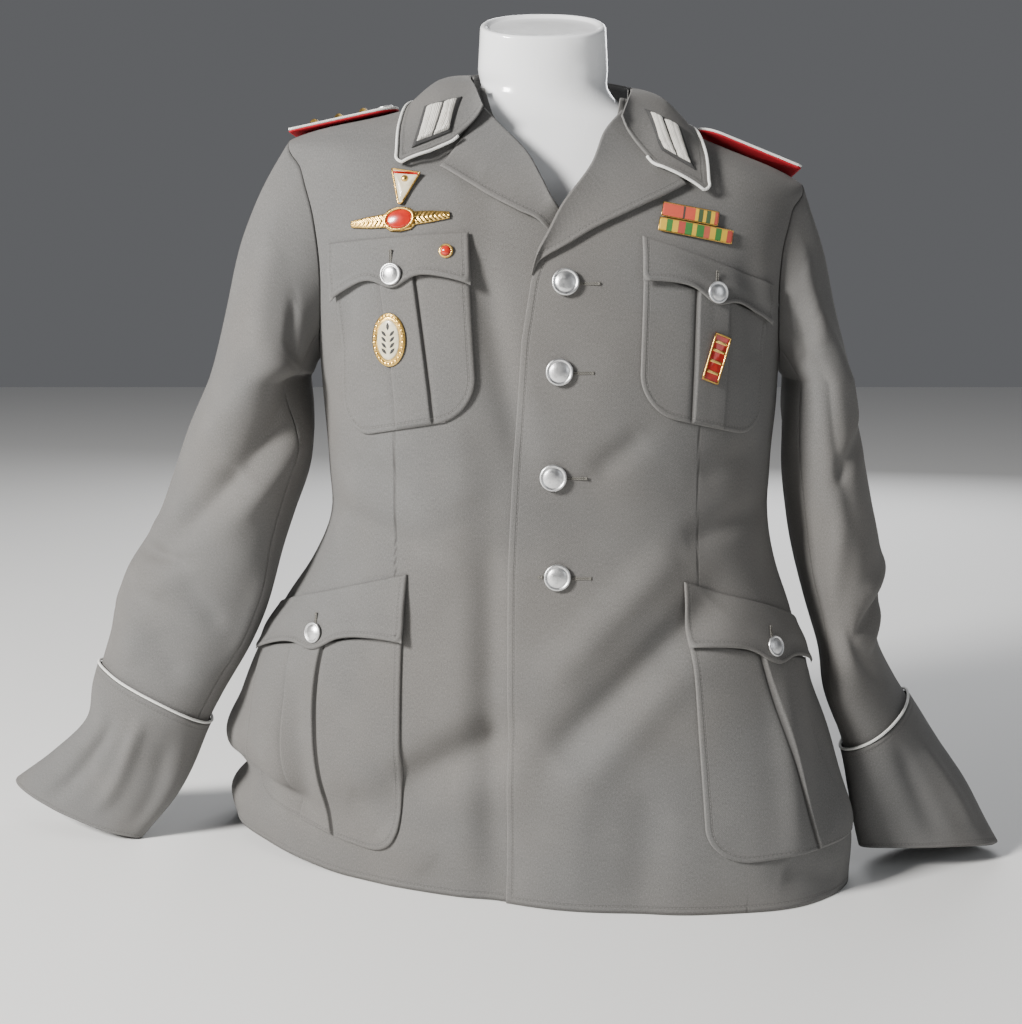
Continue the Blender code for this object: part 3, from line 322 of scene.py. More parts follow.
def on_coat(z, s):
    """Points of the coat's shell at heights z and distances s along the cloth."""
    z, s = np.broadcast_arrays(np.asarray(z, float), np.asarray(s, float))
    row = np.clip(z / LEVEL_STEP, 0, len(LEVELS) - 1.000001)
    part = np.where(s < 0, s / level_value(z, 0), s / level_value(z, 1))
    col = np.clip((part + 1) / 2 * (ACROSS_POINTS - 1), 0, ACROSS_POINTS - 1.000001)
    r, c = row.astype(int), col.astype(int)
    fr, fc = (row - r)[..., None], (col - c)[..., None]
    low = SHELL[r, c] * (1 - fc) + SHELL[r, c + 1] * fc
    high = SHELL[r + 1, c] * (1 - fc) + SHELL[r + 1, c + 1] * fc
    return low * (1 - fr) + high * fr


def coat_normal(z, s):
    """The direction straight out of the coat's shell."""
    step = 0.003
    across = on_coat(z, s + step) - on_coat(z, s - step)
    up = on_coat(np.minimum(z + step, 0.72), s) - on_coat(np.maximum(z - step, 0.0), s)
    return unit(np.cross(across, up))


def side_line(z, sign):
    """The distance along the cloth from the middle front to the side seam."""
    return level_value(z, 3 if sign > 0 else 2)


def at_x(z, x):
    """Distances along the cloth, on the front, to the points with this x."""
    z, x = np.broadcast_arrays(np.asarray(z, float), np.asarray(x, float))
    out = np.zeros(z.shape)
    quarter = RING_POINTS // 4
    for i in np.ndindex(z.shape):
        along, points = ring(round(float(z[i]), 4))
        out[i] = np.interp(x[i], points[quarter : 3 * quarter, 0], along[quarter : 3 * quarter])
    return out


def front_at(x, z):
    """(height, distance along the cloth) of the front's points seen at x and z in the front view."""
    x, z = np.broadcast_arrays(np.asarray(x, float), np.asarray(z, float))
    level = z - column(BODY, "lean", z) * x
    level = z - column(BODY, "lean", level) * x
    return level, at_x(level, x)


def top_z(x, y):
    """Heights of the shoulders over points of the top view."""
    x, y = np.broadcast_arrays(np.asarray(x, float), np.asarray(y, float))
    low, high = np.full(x.shape, 0.45), np.full(x.shape, 0.7199)
    for _ in range(26):
        z = (low + high) / 2
        side = np.where(x > 0, column(BODY, "left", z), column(BODY, "right", z))
        depth = np.where(y < 0, column(BODY, "front", z), column(BODY, "back", z))
        n = column(BODY, "square", z)
        inside = (np.abs(x) / side) ** n + (np.abs(y) / depth) ** n < 1
        low, high = np.where(inside, z, low), np.where(inside, high, z)
    return low + column(BODY, "lean", low) * x


def over_shoulder(x, y, lift):
    """Points lifted off the shoulders along their normal."""
    step = 0.003
    fall_x = (top_z(x + step, y) - top_z(x - step, y)) / (2 * step)
    fall_y = (top_z(x, y + step) - top_z(x, y - step)) / (2 * step)
    out = unit(np.stack([-fall_x, -fall_y, np.ones_like(fall_x)], axis=-1))
    return np.stack([x, y, top_z(x, y)], axis=-1) + out * np.asarray(lift)[..., None]


def strokes(a, b, rows):
    """Soft folds as lines from (a0, b0) to (a1, b1) with a width and a height, below zero for a trough."""
    total = np.zeros(np.broadcast(a, b).shape)
    for a0, b0, a1, b1, width, height in rows:
        da, db = a1 - a0, b1 - b0
        t = np.clip(((a - a0) * da + (b - b0) * db) / (da * da + db * db), 0, 1)
        off = np.hypot(a - a0 - t * da, b - b0 - t * db)
        total += height * np.exp(-((off / width) ** 2)) * (1 - 0.6 * (2 * t - 1) ** 4)
    return total


FRONT_FOLDS = (
    # x and z of the line's ends, width, height
    (0.140, 0.272, 0.000, 0.138, 0.019, -0.0125),
    (0.105, 0.318, -0.002, 0.205, 0.018, 0.0068),
    (0.110, 0.215, 0.030, 0.125, 0.020, 0.0047),
    (0.036, 0.386, 0.078, 0.419, 0.012, -0.0038),
    (-0.062, 0.560, -0.028, 0.399, 0.014, -0.0061),
    (-0.055, 0.311, -0.056, 0.039, 0.014, -0.0061),
    (-0.138, 0.100, -0.042, 0.156, 0.020, -0.0150),
    (-0.135, 0.445, -0.100, 0.335, 0.032, 0.0061),
    (-0.090, 0.430, -0.070, 0.360, 0.022, 0.0034),
    (-0.150, 0.060, -0.109, 0.025, 0.018, 0.0054),
    (-0.185, 0.085, -0.135, 0.075, 0.016, -0.0034),
    (0.205, 0.032, 0.262, 0.016, 0.014, -0.0061),
    (-0.190, 0.345, -0.110, 0.315, 0.012, -0.0047),
    (-0.180, 0.395, -0.120, 0.365, 0.012, -0.0030),
    (0.190, 0.350, 0.115, 0.325, 0.012, -0.0043),
    (0.180, 0.400, 0.130, 0.385, 0.012, -0.0027),
    (-0.268, 0.165, -0.250, 0.060, 0.016, 0.0061),
    (-0.300, 0.085, -0.225, 0.060, 0.010, -0.0081),
    (-0.236, 0.180, -0.224, 0.060, 0.012, -0.0054),
    (0.238, 0.190, 0.246, 0.050, 0.014, -0.0054),
    (0.205, 0.200, 0.215, 0.060, 0.012, 0.0041),
    (0.085, 0.110, 0.078, 0.010, 0.020, -0.0043),
    (0.025, 0.140, 0.020, 0.010, 0.024, 0.0041),
    (-0.040, 0.090, -0.045, 0.010, 0.018, -0.0034),
    (-0.175, 0.560, -0.185, 0.480, 0.012, -0.0041),
    (0.170, 0.560, 0.180, 0.480, 0.012, -0.0041),
    (-0.060, 0.640, -0.110, 0.660, 0.014, -0.0027),
)
BACK_FOLDS = (
    (-0.150, 0.400, -0.020, 0.300, 0.020, -0.0045),
    (0.140, 0.390, 0.030, 0.310, 0.020, -0.0045),
    (-0.120, 0.330, -0.060, 0.310, 0.012, 0.0025),
    (0.130, 0.335, 0.060, 0.320, 0.012, 0.0025),
    (0.160, 0.220, 0.175, 0.030, 0.022, 0.0045),
    (-0.170, 0.220, -0.190, 0.030, 0.024, 0.0045),
    (0.080, 0.240, 0.085, 0.020, 0.018, -0.0035),
    (-0.085, 0.240, -0.095, 0.020, 0.018, -0.0035),
    (0.120, 0.620, 0.050, 0.500, 0.022, -0.0030),
    (-0.120, 0.620, -0.060, 0.500, 0.022, -0.0030),
)
WAVES = (
    # turns per metre along x, y and z, part of a turn to start, height
    (9.0, 5.0, 3.1, 0.10, 0.00040),
    (-4.3, 7.7, 6.9, 0.55, 0.00035),
    (13.1, -8.3, -5.9, 0.30, 0.00022),
    (5.7, 11.9, 12.7, 0.80, 0.00018),
)


def unevenness(points):
    """The slight waviness of cloth that has been worn."""
    total = 0.0
    for fx, fy, fz, start, height in WAVES:
        turns = points[..., 0] * fx + points[..., 1] * fy + points[..., 2] * fz + start
        total = total + height * np.sin(2 * math.pi * turns)
    return total


def edge_gap(z, s):
    """Distance to the side seam or the armhole: above zero on the front, below it on the back."""
    side = np.where(s > 0, level_value(z, 3), -level_value(z, 2))
    cut = (z > ARMPIT_Z) & (z < SHOULDER_Z)
    front = side - np.where(cut, column(ARMHOLE, "front", z), 0.0) - np.abs(s)
    back = side + np.where(cut, column(ARMHOLE, "back", z), 0.0) - np.abs(s)
    return np.where(np.abs(s) < side, np.maximum(front, 0.0), np.minimum(back, 0.0))


def relief(z, s, points):
    """How far folds and unevenness lift the coat, dying out at its seams."""
    x, height = points[..., 0], points[..., 2]
    gap = edge_gap(z, s)
    folds = np.where(gap > 0, strokes(x, height, FRONT_FOLDS), strokes(x, height, BACK_FOLDS))
    return (folds + unevenness(points)) * ease(np.abs(gap), 0.0, 0.030) * (1 - ease(z, 0.66, 0.70))


def hem_lift(z, x):
    """The hem stands on the table, and its right side is lifted a little."""
    return 0.012 * ease(-x, 0.18, 0.31) * (1 - ease(z, 0.0, 0.12))


def coat(z, s, lift=0.0):
    """Points on the coat, or lifted off it, with its folds."""
    z, s = np.broadcast_arrays(np.asarray(z, float), np.asarray(s, float))
    base = on_coat(z, s)
    points = base + coat_normal(z, s) * (relief(z, s, base) + lift)[..., None]
    points[..., 2] += hem_lift(z, points[..., 0])
    return points


def overlap_inset(z, x):
    """How deep the right front lies under the left one near the front edge."""
    return (CLOTH + 0.0010) * ease(x, -0.085, -0.050) * (1 - 0.55 * ease(z, 0.60, 0.66))


SLEEVE_FOLDS = {
    "right": (
        # phi in degrees and z of the line's ends, width, height
        (160, 0.480, 92, 0.380, 0.0200, -0.0130),
        (92, 0.380, 42, 0.306, 0.0160, -0.0110),
        (120, 0.510, 50, 0.405, 0.0200, 0.0068),
        (145, 0.410, 100, 0.335, 0.0140, 0.0046),
        (15, 0.300, 70, 0.292, 0.0065, -0.0065),
        (10, 0.320, 60, 0.314, 0.0090, 0.0039),
        (15, 0.277, 65, 0.264, 0.0100, 0.0046),
        (35, 0.250, 50, 0.185, 0.0160, 0.0046),
        (72, 0.275, 112, 0.232, 0.0080, -0.0042),
        (140, 0.285, 140, 0.200, 0.0120, 0.0039),
        (60, 0.220, 95, 0.180, 0.0100, -0.0033),
        (60, 0.610, 75, 0.520, 0.0160, 0.0039),
        (100, 0.600, 120, 0.530, 0.0100, -0.0039),
        (82, 0.130, 86, 0.040, 0.0080, 0.0055),
        (52, 0.125, 48, 0.030, 0.0100, -0.0065),
        (115, 0.110, 125, 0.030, 0.0120, -0.0033),
        (180, 0.420, 230, 0.340, 0.0180, -0.0046),
        (250, 0.350, 320, 0.330, 0.0120, -0.0059),
        (240, 0.310, 300, 0.290, 0.0100, 0.0039),
        (280, 0.560, 330, 0.450, 0.0180, -0.0052),
        (300, 0.290, 350, 0.230, 0.0140, 0.0039),
    ),
    "left": (
        (20, 0.262, 78, 0.232, 0.0080, -0.0065),
        (15, 0.243, 60, 0.214, 0.0080, 0.0046),
        (8, 0.288, 70, 0.264, 0.0100, 0.0046),
        (110, 0.530, 72, 0.330, 0.0160, -0.0052),
        (70, 0.560, 40, 0.400, 0.0180, 0.0046),
        (30, 0.420, 95, 0.370, 0.0100, -0.0046),
        (95, 0.330, 120, 0.250, 0.0120, 0.0039),
        (100, 0.235, 45, 0.178, 0.0100, -0.0042),
        (60, 0.615, 80, 0.520, 0.0140, 0.0039),
        (100, 0.600, 120, 0.530, 0.0100, -0.0039),
        (70, 0.115, 78, 0.030, 0.0120, -0.0039),
        (40, 0.110, 38, 0.030, 0.0120, 0.0039),
        (190, 0.420, 240, 0.340, 0.0180, -0.0046),
        (250, 0.330, 320, 0.310, 0.0120, -0.0059),
        (280, 0.560, 330, 0.450, 0.0180, -0.0046),
    ),
}
METRES_PER_DEGREE = 0.0011


def section_point(side, z, phi):
    """Points of a sleeve's sections: phi is 0 outside, 90 in front, 180 against the body."""
    tab, sign = SLEEVE[side], SIGN[side]
    turn = np.radians(column(tab, "turn", z))
    psi = -np.radians(phi) - turn
    a = column(tab, "long", z) * np.cos(psi)
    b = column(tab, "short", z) * np.sin(psi)
    out = a * np.cos(turn) - b * np.sin(turn)
    back = a * np.sin(turn) + b * np.cos(turn)
    rise = column(tab, "tilt_out", z) * out + column(tab, "tilt_back", z) * back
    return np.stack([sign * (column(tab, "x", z) + out), column(tab, "y", z) + back, z + rise], axis=-1)


def armhole_place(side, phi):
    """(height, distance along the cloth) of the armhole's edge at a sleeve's phi."""
    sign = SIGN[side]
    phi = phi % 360
    middle = (ARMPIT_Z + SHOULDER_Z) / 2
    z = middle + (SHOULDER_Z - middle) * np.cos(np.radians(phi))
    front = phi < 180
    cut = np.where(front, column(ARMHOLE, "front", z), column(ARMHOLE, "back", z))
    gape = np.maximum(cut - SEAM_GAP * 2, 0.0)
    return z, side_line(z, sign) - sign * gape * np.where(front, 1, -1)


def bare_sleeve(side, z, phi):
    """The sleeve without folds. Above the highest section it runs up to the armhole."""
    z, phi = np.broadcast_arrays(np.asarray(z, float), np.asarray(phi, float))
    low = section_point(side, np.minimum(z, SECTION_TOP_Z), phi)
    w = np.clip((z - SECTION_TOP_Z) / (SHOULDER_Z - SECTION_TOP_Z), 0, 1)
    points = low + (on_coat(*armhole_place(side, phi)) - low) * w[..., None]
    outward = (1 + np.cos(np.radians(phi))) / 2
    puff = SLEEVE_HEAD_PUFF[side] * outward * np.sin(math.pi * w**1.6) + SEAM_GAP * ease(w, 0, 0.01)
    points[..., 0] += SIGN[side] * puff
    return points


def sleeve(side, z, phi, lift=0.0):
    """Points on the sleeve, or lifted off it, with its folds."""
    z, phi = np.broadcast_arrays(np.asarray(z, float), np.asarray(phi, float))
    step = 0.004
    high, low = np.minimum(z + step, SHOULDER_Z), np.maximum(z - step, SLEEVE_FOOT_Z[side])
    up = bare_sleeve(side, high, phi) - bare_sleeve(side, low, phi)
    across = bare_sleeve(side, z, phi + 3) - bare_sleeve(side, z, phi - 3)
    out = unit(np.cross(up, across)) * SIGN[side]
    points = bare_sleeve(side, z, phi)
    round_it = phi % 360
    folds = strokes(round_it * METRES_PER_DEGREE, z, [
        (a0 * METRES_PER_DEGREE, b0, a1 * METRES_PER_DEGREE, b1, width, height)
        for a0, b0, a1, b1, width, height in SLEEVE_FOLDS[side]
    ])
    close = 1 - ease(z, 0.600, SHOULDER_Z)
    return points + out * ((folds + unevenness(points)) * close + lift)[..., None]


def collar_value(t, name):
    """A column of the collar at stations t, from -1 at the right front end to 1 at the left one."""
    place = (1 - np.abs(t)) * (len(COLLAR_ROWS) - 1)
    return column({"place": np.arange(len(COLLAR_ROWS), dtype=float), name: COLLAR[name]}, name, place, "place")


def collar_roll(t):
    """Points of the line where the collar turns over."""
    x = np.sign(t) * collar_value(t, "roll_x")
    return np.stack([x, collar_value(t, "roll_y"), collar_value(t, "roll_z") - COLLAR_SLOPE * x], axis=-1)


def collar_fall(t, w):
    """The fall's outside: w is 0 at the roll line and 1 at the free edge."""
    t, w = np.broadcast_arrays(np.asarray(t, float), np.asarray(w, float))
    roll, side = collar_roll(t), np.sign(t)
    mid_x, mid_y = side * collar_value(t, "mid_x"), collar_value(t, "mid_y")
    edge_x, edge_y = side * collar_value(t, "edge_x"), collar_value(t, "edge_y")
    near, far = np.minimum(2 * w, 1), np.maximum(2 * w - 1, 0)
    x = roll[..., 0] + (mid_x - roll[..., 0]) * near + (edge_x - mid_x) * far
    y = roll[..., 1] + (mid_y - roll[..., 1]) * near + (edge_y - mid_y) * far
    resting = over_shoulder(x, y, COLLAR_LIFT + 0.003 * np.sin(math.pi * w))
    edge = over_shoulder(edge_x, edge_y, COLLAR_LIFT + 0 * w)
    front = ease(np.abs(t), 0.6, 1.0)
    fallen = w ** (1 - 0.31 * front)
    hanging = np.stack(
        [
            x + (edge[..., 0] - edge_x) * w,
            y + (edge[..., 1] - edge_y) * w,
            roll[..., 2] + (edge[..., 2] - roll[..., 2]) * fallen + 0.008 * (1 - 0.9 * front) * np.sin(math.pi * w),
        ],
        axis=-1,
    )
    rests = ease(resting[..., 2] - hanging[..., 2], -0.001, 0.001)[..., None]
    blend = hanging + (resting - hanging) * rests
    start = ease(w, 0.0, 0.08)[..., None]
    return roll + (blend - roll) * start if np.any(w <= 0.08) else blend


def grid(name, points, weave, seam=None, crease=None, joined=False):
    """A mesh laid out over a grid of points: rows going up, columns going towards the wearer's left.

    weave is each point's place on the flat cloth, seam its (way along, distance to) the nearest stitched
    edge, and crease its distance to a sewn dart. joined closes the last column on the first.
    """
    rows, columns = points.shape[:2]
    bpy.ops.object.select_all(action="DESELECT")
    bpy.ops.mesh.primitive_grid_add(x_subdivisions=columns - 1, y_subdivisions=rows - 1, size=1)
    made = bpy.context.object
    made.name = made.data.name = name
    mesh = made.data
    mesh.vertices.foreach_set("co", points.reshape(-1, 3).ravel())
    corner = np.empty(len(mesh.loops), dtype=np.int32)
    mesh.loops.foreach_get("vertex_index", corner)
    flat = mesh.uv_layers[0]
    flat.name = "weave"
    flat.data.foreach_set("uv", weave.reshape(-1, 2)[corner].ravel())
    if seam is None:
        seam = np.ones((rows, columns, 2))
    stitched = mesh.uv_layers.new(name="seam")
    stitched.data.foreach_set("uv", seam.reshape(-1, 2)[corner].ravel())
    mesh.uv_layers.active = mesh.uv_layers["weave"]
    dart = mesh.attributes.new("crease", "FLOAT", "POINT")
    dart.data.foreach_set("value", (np.ones((rows, columns)) if crease is None else crease).ravel())
    if joined:
        bm = bmesh.new()
        bm.from_mesh(mesh)
        bmesh.ops.remove_doubles(bm, verts=bm.verts, dist=1e-7)
        bm.to_mesh(mesh)
        bm.free()
    mesh.shade_smooth()
    return made


def thicken(made, thickness):
    """Gives a sheet its thickness, inwards from its outer face."""
    wall = made.modifiers.new("thickness", "SOLIDIFY")
    wall.thickness = thickness
    wall.offset = -1
    wall.use_rim = True
    return made


def spans(points, axis):
    """Distances along the grid's rows (axis 1) or columns (axis 0) from its first line."""
    steps = np.linalg.norm(np.diff(points, axis=axis), axis=-1)
    shape = list(points.shape[:2])
    shape[axis] = 1
    return np.concatenate([np.zeros(shape), np.cumsum(steps, axis=axis)], axis=axis)


def laid_flat(points):
    """The grid's places on flat cloth, from the middle column."""
    across = spans(points, 1)
    across = across - across[:, across.shape[1] // 2][:, None]
    up = spans(points, 0).mean(axis=1, keepdims=True) + 0 * across
    return np.stack([across, up], axis=-1)


def edge_seam(points, sides):
    """(way along, distance) of the nearest stitched edge: l first column, r last, b first row, t last."""
    across, up = spans(points, 1), spans(points, 0)
    runs = {
        "l": (up, across),
        "r": (up, across[:, -1:] - across),
        "b": (across, up),
        "t": (across, up[-1:] - up),
    }
    along = np.stack([runs[side][0] for side in sides])
    away = np.stack([runs[side][1] for side in sides])
    nearest = away.argmin(axis=0)[None]
    pick = np.take_along_axis
    return np.stack([pick(along, nearest, 0)[0], pick(away, nearest, 0)[0]], axis=-1)


def fine_ends(count, near=(0.0, 0.002, 0.006, 0.012), last=True):
    """Steps from 0 to 1, closer together at the ends, where cloth is folded over."""
    high = tuple(1 - v for v in reversed(near)) if last else (1.0,)
    return np.concatenate([near, np.linspace(near[-1], high[0], count)[1:-1], high])


def rolled(away, thickness, r=0.0016):
    """The height of a lying piece's top, rounded down at its edge."""
    t = 1 - np.clip(away / r, 0, 1)
    return thickness * np.sqrt(1 - t * t)


def facing_left(points, *others):
    """The same grids with their columns turned round, for the wearer's right side."""
    return [g[:, ::-1] for g in (points, *others)]


def placed(points, place):
    """Points given in a place's own frame, moved to where it stands."""
    turn = np.array(place)
    return points @ turn[:3, :3].T + turn[:3, 3]


def rim_path(outline, height, place):
    """An outline at one height of a place, as the path of a cord."""
    return placed(np.concatenate([outline, np.full((len(outline), 1), height)], axis=1), place)


def polygon(corners, count):
    """A closed outline through corners, with count points along each side."""
    return np.concatenate([
        a + (b - a) * np.linspace(0, 1, count, endpoint=False)[:, None]
        for a, b in zip(corners, np.roll(corners, -1, axis=0))
    ])


def raised(name, outline, profile, place):
    """A solid raised from an outline: (scale, height) steps from its middle below, round the rim, to the top."""
    outline = np.asarray(outline, float)
    outline = np.concatenate([outline, outline[:1]])
    points = np.zeros((len(profile), len(outline), 3))
    for row, (scale, height) in enumerate(profile):
        points[row, :, :2] = outline * scale
        points[row, :, 2] = height
    weave = points[..., :2].copy()
    return grid(name, placed(points, place), weave, joined=True)


def circle(r, count):
    angle = np.linspace(0, 2 * math.pi, count, endpoint=False)
    return np.stack([r * np.cos(angle), r * np.sin(angle)], axis=1)


def ellipse(rx, ry, count):
    return circle(1, count) * (rx, ry)


CORD_PITCH = 0.004


def cord(name, path, radius, sides=12, closed=False, twist=0.0):
    """A round cord along a path, with its strands twisted by twist of its radius."""
    path = np.asarray(path, float)
    if closed:
        path = np.concatenate([path, path[:1]])
    ahead = unit(np.gradient(path, axis=0))
    if closed:
        ahead[0] = ahead[-1] = unit(path[1] - path[-2])
    along = np.concatenate([[0], np.cumsum(np.linalg.norm(np.diff(path, axis=0), axis=1))])
    side = np.zeros_like(path)
    start = Vector(ahead[0]).orthogonal().normalized()
    for i, way in enumerate(ahead):
        start = (start - Vector(way) * start.dot(Vector(way))).normalized()
        side[i] = start
    other = np.cross(ahead, side)
    if closed:
        slip = math.atan2(side[-1] @ other[0], side[-1] @ side[0])
        angle = -slip * along / along[-1]
        side, other = (
            side * np.cos(angle)[:, None] + other * np.sin(angle)[:, None],
            other * np.cos(angle)[:, None] - side * np.sin(angle)[:, None],
        )
    around = np.linspace(0, 2 * math.pi, sides + 1)
    swell = 1 + twist * (np.cos(2 * (around[None] - along[:, None] * 2 * math.pi / CORD_PITCH / 2)) - 1)
    ring_out = side[:, None] * np.cos(around)[None, :, None] + other[:, None] * np.sin(around)[None, :, None]
    points = path[:, None] + ring_out * (radius * swell)[..., None]
    if closed:
        points[-1] = points[0]
    else:
        caps = [np.repeat(end[None, None], sides + 1, axis=1) for end in (path[0], path[-1])]
        points = np.concatenate([caps[0], points, caps[1]])
        along = np.concatenate([along[:1], along, along[-1:]])
    weave = np.stack(np.broadcast_arrays(around[None] * radius, along[:, None]), axis=-1)
    return grid(name, points[:, ::-1], weave[:, ::-1], joined=True)


def smooth_path(points, step):
    """A path through points, read again at even steps."""
    points = np.asarray(points, float)
    along = np.concatenate([[0], np.cumsum(np.linalg.norm(np.diff(points, axis=0), axis=1))])
    at = np.linspace(0, along[-1], max(int(along[-1] / step), 4) + 1)
    tab = {"way": along}
    out = []
    for axis in range(3):
        tab["p"] = points[:, axis]
        out.append(column(tab, "p", at, "way"))
    return np.stack(out, axis=1)


def finished(made, finish, replaced=()):
    """Gives a piece its material, hangs it on the root body and hides the solids that it stands for."""
    made.data.materials.clear()
    made.data.materials.append(finish)
    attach(made, "root")
    if replaced:
        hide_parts(*replaced)
    return made


def one_piece(name, parts):
    """Several small parts joined into one piece."""
    bpy.ops.object.select_all(action="DESELECT")
    for part in parts:
        part.select_set(True)
    bpy.context.view_layer.objects.active = parts[0]
    bpy.ops.object.join()
    parts[0].name = parts[0].data.name = name
    return parts[0]


class Shading:
    """Builds one node tree, a node group or a material."""

    def __init__(self, tree):
        self.tree = tree

    def node(self, kind, inputs=(), **settings):
        made = self.tree.nodes.new(kind)
        for key, value in settings.items():
            setattr(made, key, value)
        for key, value in dict(inputs).items():
            if isinstance(value, bpy.types.NodeSocket):
                self.tree.links.new(value, made.inputs[key])
            else:
                made.inputs[key].default_value = value
        return made

    def math(self, operation, *values):
        made = self.node("ShaderNodeMath", operation=operation)
        for i, value in enumerate(values):
            if isinstance(value, bpy.types.NodeSocket):
                self.tree.links.new(value, made.inputs[i])
            else:
                made.inputs[i].default_value = value
        return made.outputs[0]

    def between(self, value, low, high, to_low=0.0, to_high=1.0):
        """Runs smoothly from to_low to to_high as value goes from low to high."""
        inputs = {"Value": value, "From Min": low, "From Max": high, "To Min": to_low, "To Max": to_high}
        made = self.node("ShaderNodeMapRange", inputs, interpolation_type="SMOOTHSTEP")
        return made.outputs["Result"]

    def noise(self, vector, scale, detail=2.0, roughness=0.5):
        inputs = {"Vector": vector, "Scale": scale, "Detail": detail, "Roughness": roughness}
        return self.node("ShaderNodeTexNoise", inputs).outputs["Fac"]

    def stretched(self, vector, scale):
        made = self.node("ShaderNodeVectorMath", {0: vector, 1: scale}, operation="MULTIPLY")
        return made.outputs["Vector"]

    def split(self, vector):
        made = self.node("ShaderNodeSeparateXYZ", {0: vector})
        return made.outputs["X"], made.outputs["Y"]

    def colour(self, factor, low, high):
        """Goes from the first colour to the second."""
        made = self.node("ShaderNodeMix", data_type="RGBA")
        for socket, value in ((made.inputs[0], factor), (made.inputs[6], low), (made.inputs[7], high)):
            if isinstance(value, bpy.types.NodeSocket):
                self.tree.links.new(value, socket)
            elif isinstance(value, tuple):
                socket.default_value = (*value, 1)
            else:
                socket.default_value = value
        return made.outputs[2]

    def uv(self, layer):
        return self.node("ShaderNodeUVMap", uv_map=layer).outputs["UV"]

    def place(self):
        return self.node("ShaderNodeTexCoord").outputs["Object"]

    def bump(self, height, strength, distance, under=None):
        inputs = {"Height": height, "Strength": strength, "Distance": distance}
        if under is not None:
            inputs["Normal"] = under
        return self.node("ShaderNodeBump", inputs).outputs["Normal"]

    def waves(self, value, pitch):
        """A ripple from -1 to 1 every pitch metres."""
        return self.math("SINE", self.math("MULTIPLY", value, 2 * math.pi / pitch))


def group(name, inputs, outputs):
    """A new node group and its inputs: (name, kind) pairs, the kind being VECTOR or FLOAT."""
    tree = bpy.data.node_groups.new(name, "ShaderNodeTree")
    kinds = {"VECTOR": "NodeSocketVector", "FLOAT": "NodeSocketFloat"}
    for label, kind in inputs:
        tree.interface.new_socket(name=label, in_out="INPUT", socket_type=kinds[kind])
    for label, kind in outputs:
        tree.interface.new_socket(name=label, in_out="OUTPUT", socket_type=kinds[kind])
    build = Shading(tree)
    return build, build.node("NodeGroupInput").outputs, build.node("NodeGroupOutput").inputs


def twill_group():
    """Diagonal ribs of twisted yarn, with light and dark fibres mixed in."""
    build, given, out = group(
        "twill", [("Weave", "VECTOR")], [("Height", "FLOAT"), ("Fibres", "FLOAT"), ("Ribs", "FLOAT")]
    )
    u, v = build.split(given["Weave"])
    sway = build.noise(build.stretched(given["Weave"], (60, 60, 0)), 1.0)
    slant = build.math("ADD", build.math("MULTIPLY", u, 0.80), build.math("MULTIPLY", v, 0.60))
    slant = build.math("ADD", slant, build.math("MULTIPLY", sway, 0.0012))
    across = build.math("SUBTRACT", build.math("MULTIPLY", v, 0.80), build.math("MULTIPLY", u, 0.60))
    ribs = build.waves(slant, 0.00105)
    yarn = build.waves(across, 0.0008)
    fine = build.noise(build.stretched(given["Weave"], (1700, 1300, 0)), 1.0, 1.0)
    streaks = build.noise(build.stretched(given["Weave"], (900, 420, 0)), 1.0, 2.0, 0.6)
    height = build.math("ADD", build.math("MULTIPLY", ribs, 0.5), build.math("MULTIPLY", yarn, 0.2))
    height = build.math("ADD", height, build.math("MULTIPLY", fine, 0.8))
    fibres = build.math("ADD", build.math("MULTIPLY", fine, 0.55), build.math("MULTIPLY", streaks, 0.45))
    build.tree.links.new(height, out["Height"])
    build.tree.links.new(fibres, out["Fibres"])
    build.tree.links.new(build.math("MULTIPLY_ADD", ribs, 0.5, 0.5), out["Ribs"])
    return build.tree


def stitching_group():
    """A row of stitches beside a folded edge: the ridge at the edge, the sunk line and the thread."""
    build, given, out = group(
        "edge_stitching",
        [("Seam", "VECTOR"), ("Inset", "FLOAT")],
        [("Height", "FLOAT"), ("Thread", "FLOAT"), ("Worn", "FLOAT"), ("Sunk", "FLOAT")],
    )
    along, away = build.split(given["Seam"])
    off = build.math("ABSOLUTE", build.math("SUBTRACT", away, given["Inset"]))
    sunk = build.between(off, 0.0, 0.0016, 1.0, 0.0)
    dash = build.math("FRACT", build.math("DIVIDE", along, 0.0034))
    stitch = build.math("MULTIPLY", build.between(dash, 0.05, 0.2), build.between(dash, 0.75, 0.9, 1.0, 0.0))
    thread = build.math("MULTIPLY", build.between(off, 0.0002, 0.0006, 1.0, 0.0), stitch)
    ridge = build.between(away, 0.0, 0.0025)
    ridge = build.math("MULTIPLY", ridge, build.between(away, 0.0035, 0.0075, 1.0, 0.0))
    height = build.math("SUBTRACT", build.math("MULTIPLY", ridge, 0.45), sunk)
    height = build.math("ADD", height, build.math("MULTIPLY", thread, 0.7))
    build.tree.links.new(height, out["Height"])
    build.tree.links.new(thread, out["Thread"])
    build.tree.links.new(build.between(away, 0.0, 0.0016, 1.0, 0.0), out["Worn"])
    build.tree.links.new(sunk, out["Sunk"])
    return build.tree


def material(name, roughness, metallic=0.0):
    """A new material, its shader and what builds its nodes."""
    made = bpy.data.materials.new(name)
    made.use_nodes = True
    shader = made.node_tree.nodes["Principled BSDF"]
    shader.inputs["Roughness"].default_value = roughness
    shader.inputs["Metallic"].default_value = metallic
    return made, shader, Shading(made.node_tree)


def link(build, socket, shader, name):
    build.tree.links.new(socket, shader.inputs[name])


TWILL = twill_group()
STITCHING = stitching_group()


CLOTH_WARM = (0.138, 0.132, 0.125)
CLOTH_COOL = (0.130, 0.129, 0.127)
CLOTH_DARK = (0.055, 0.053, 0.051)
CLOTH_LIGHT = (0.262, 0.256, 0.245)


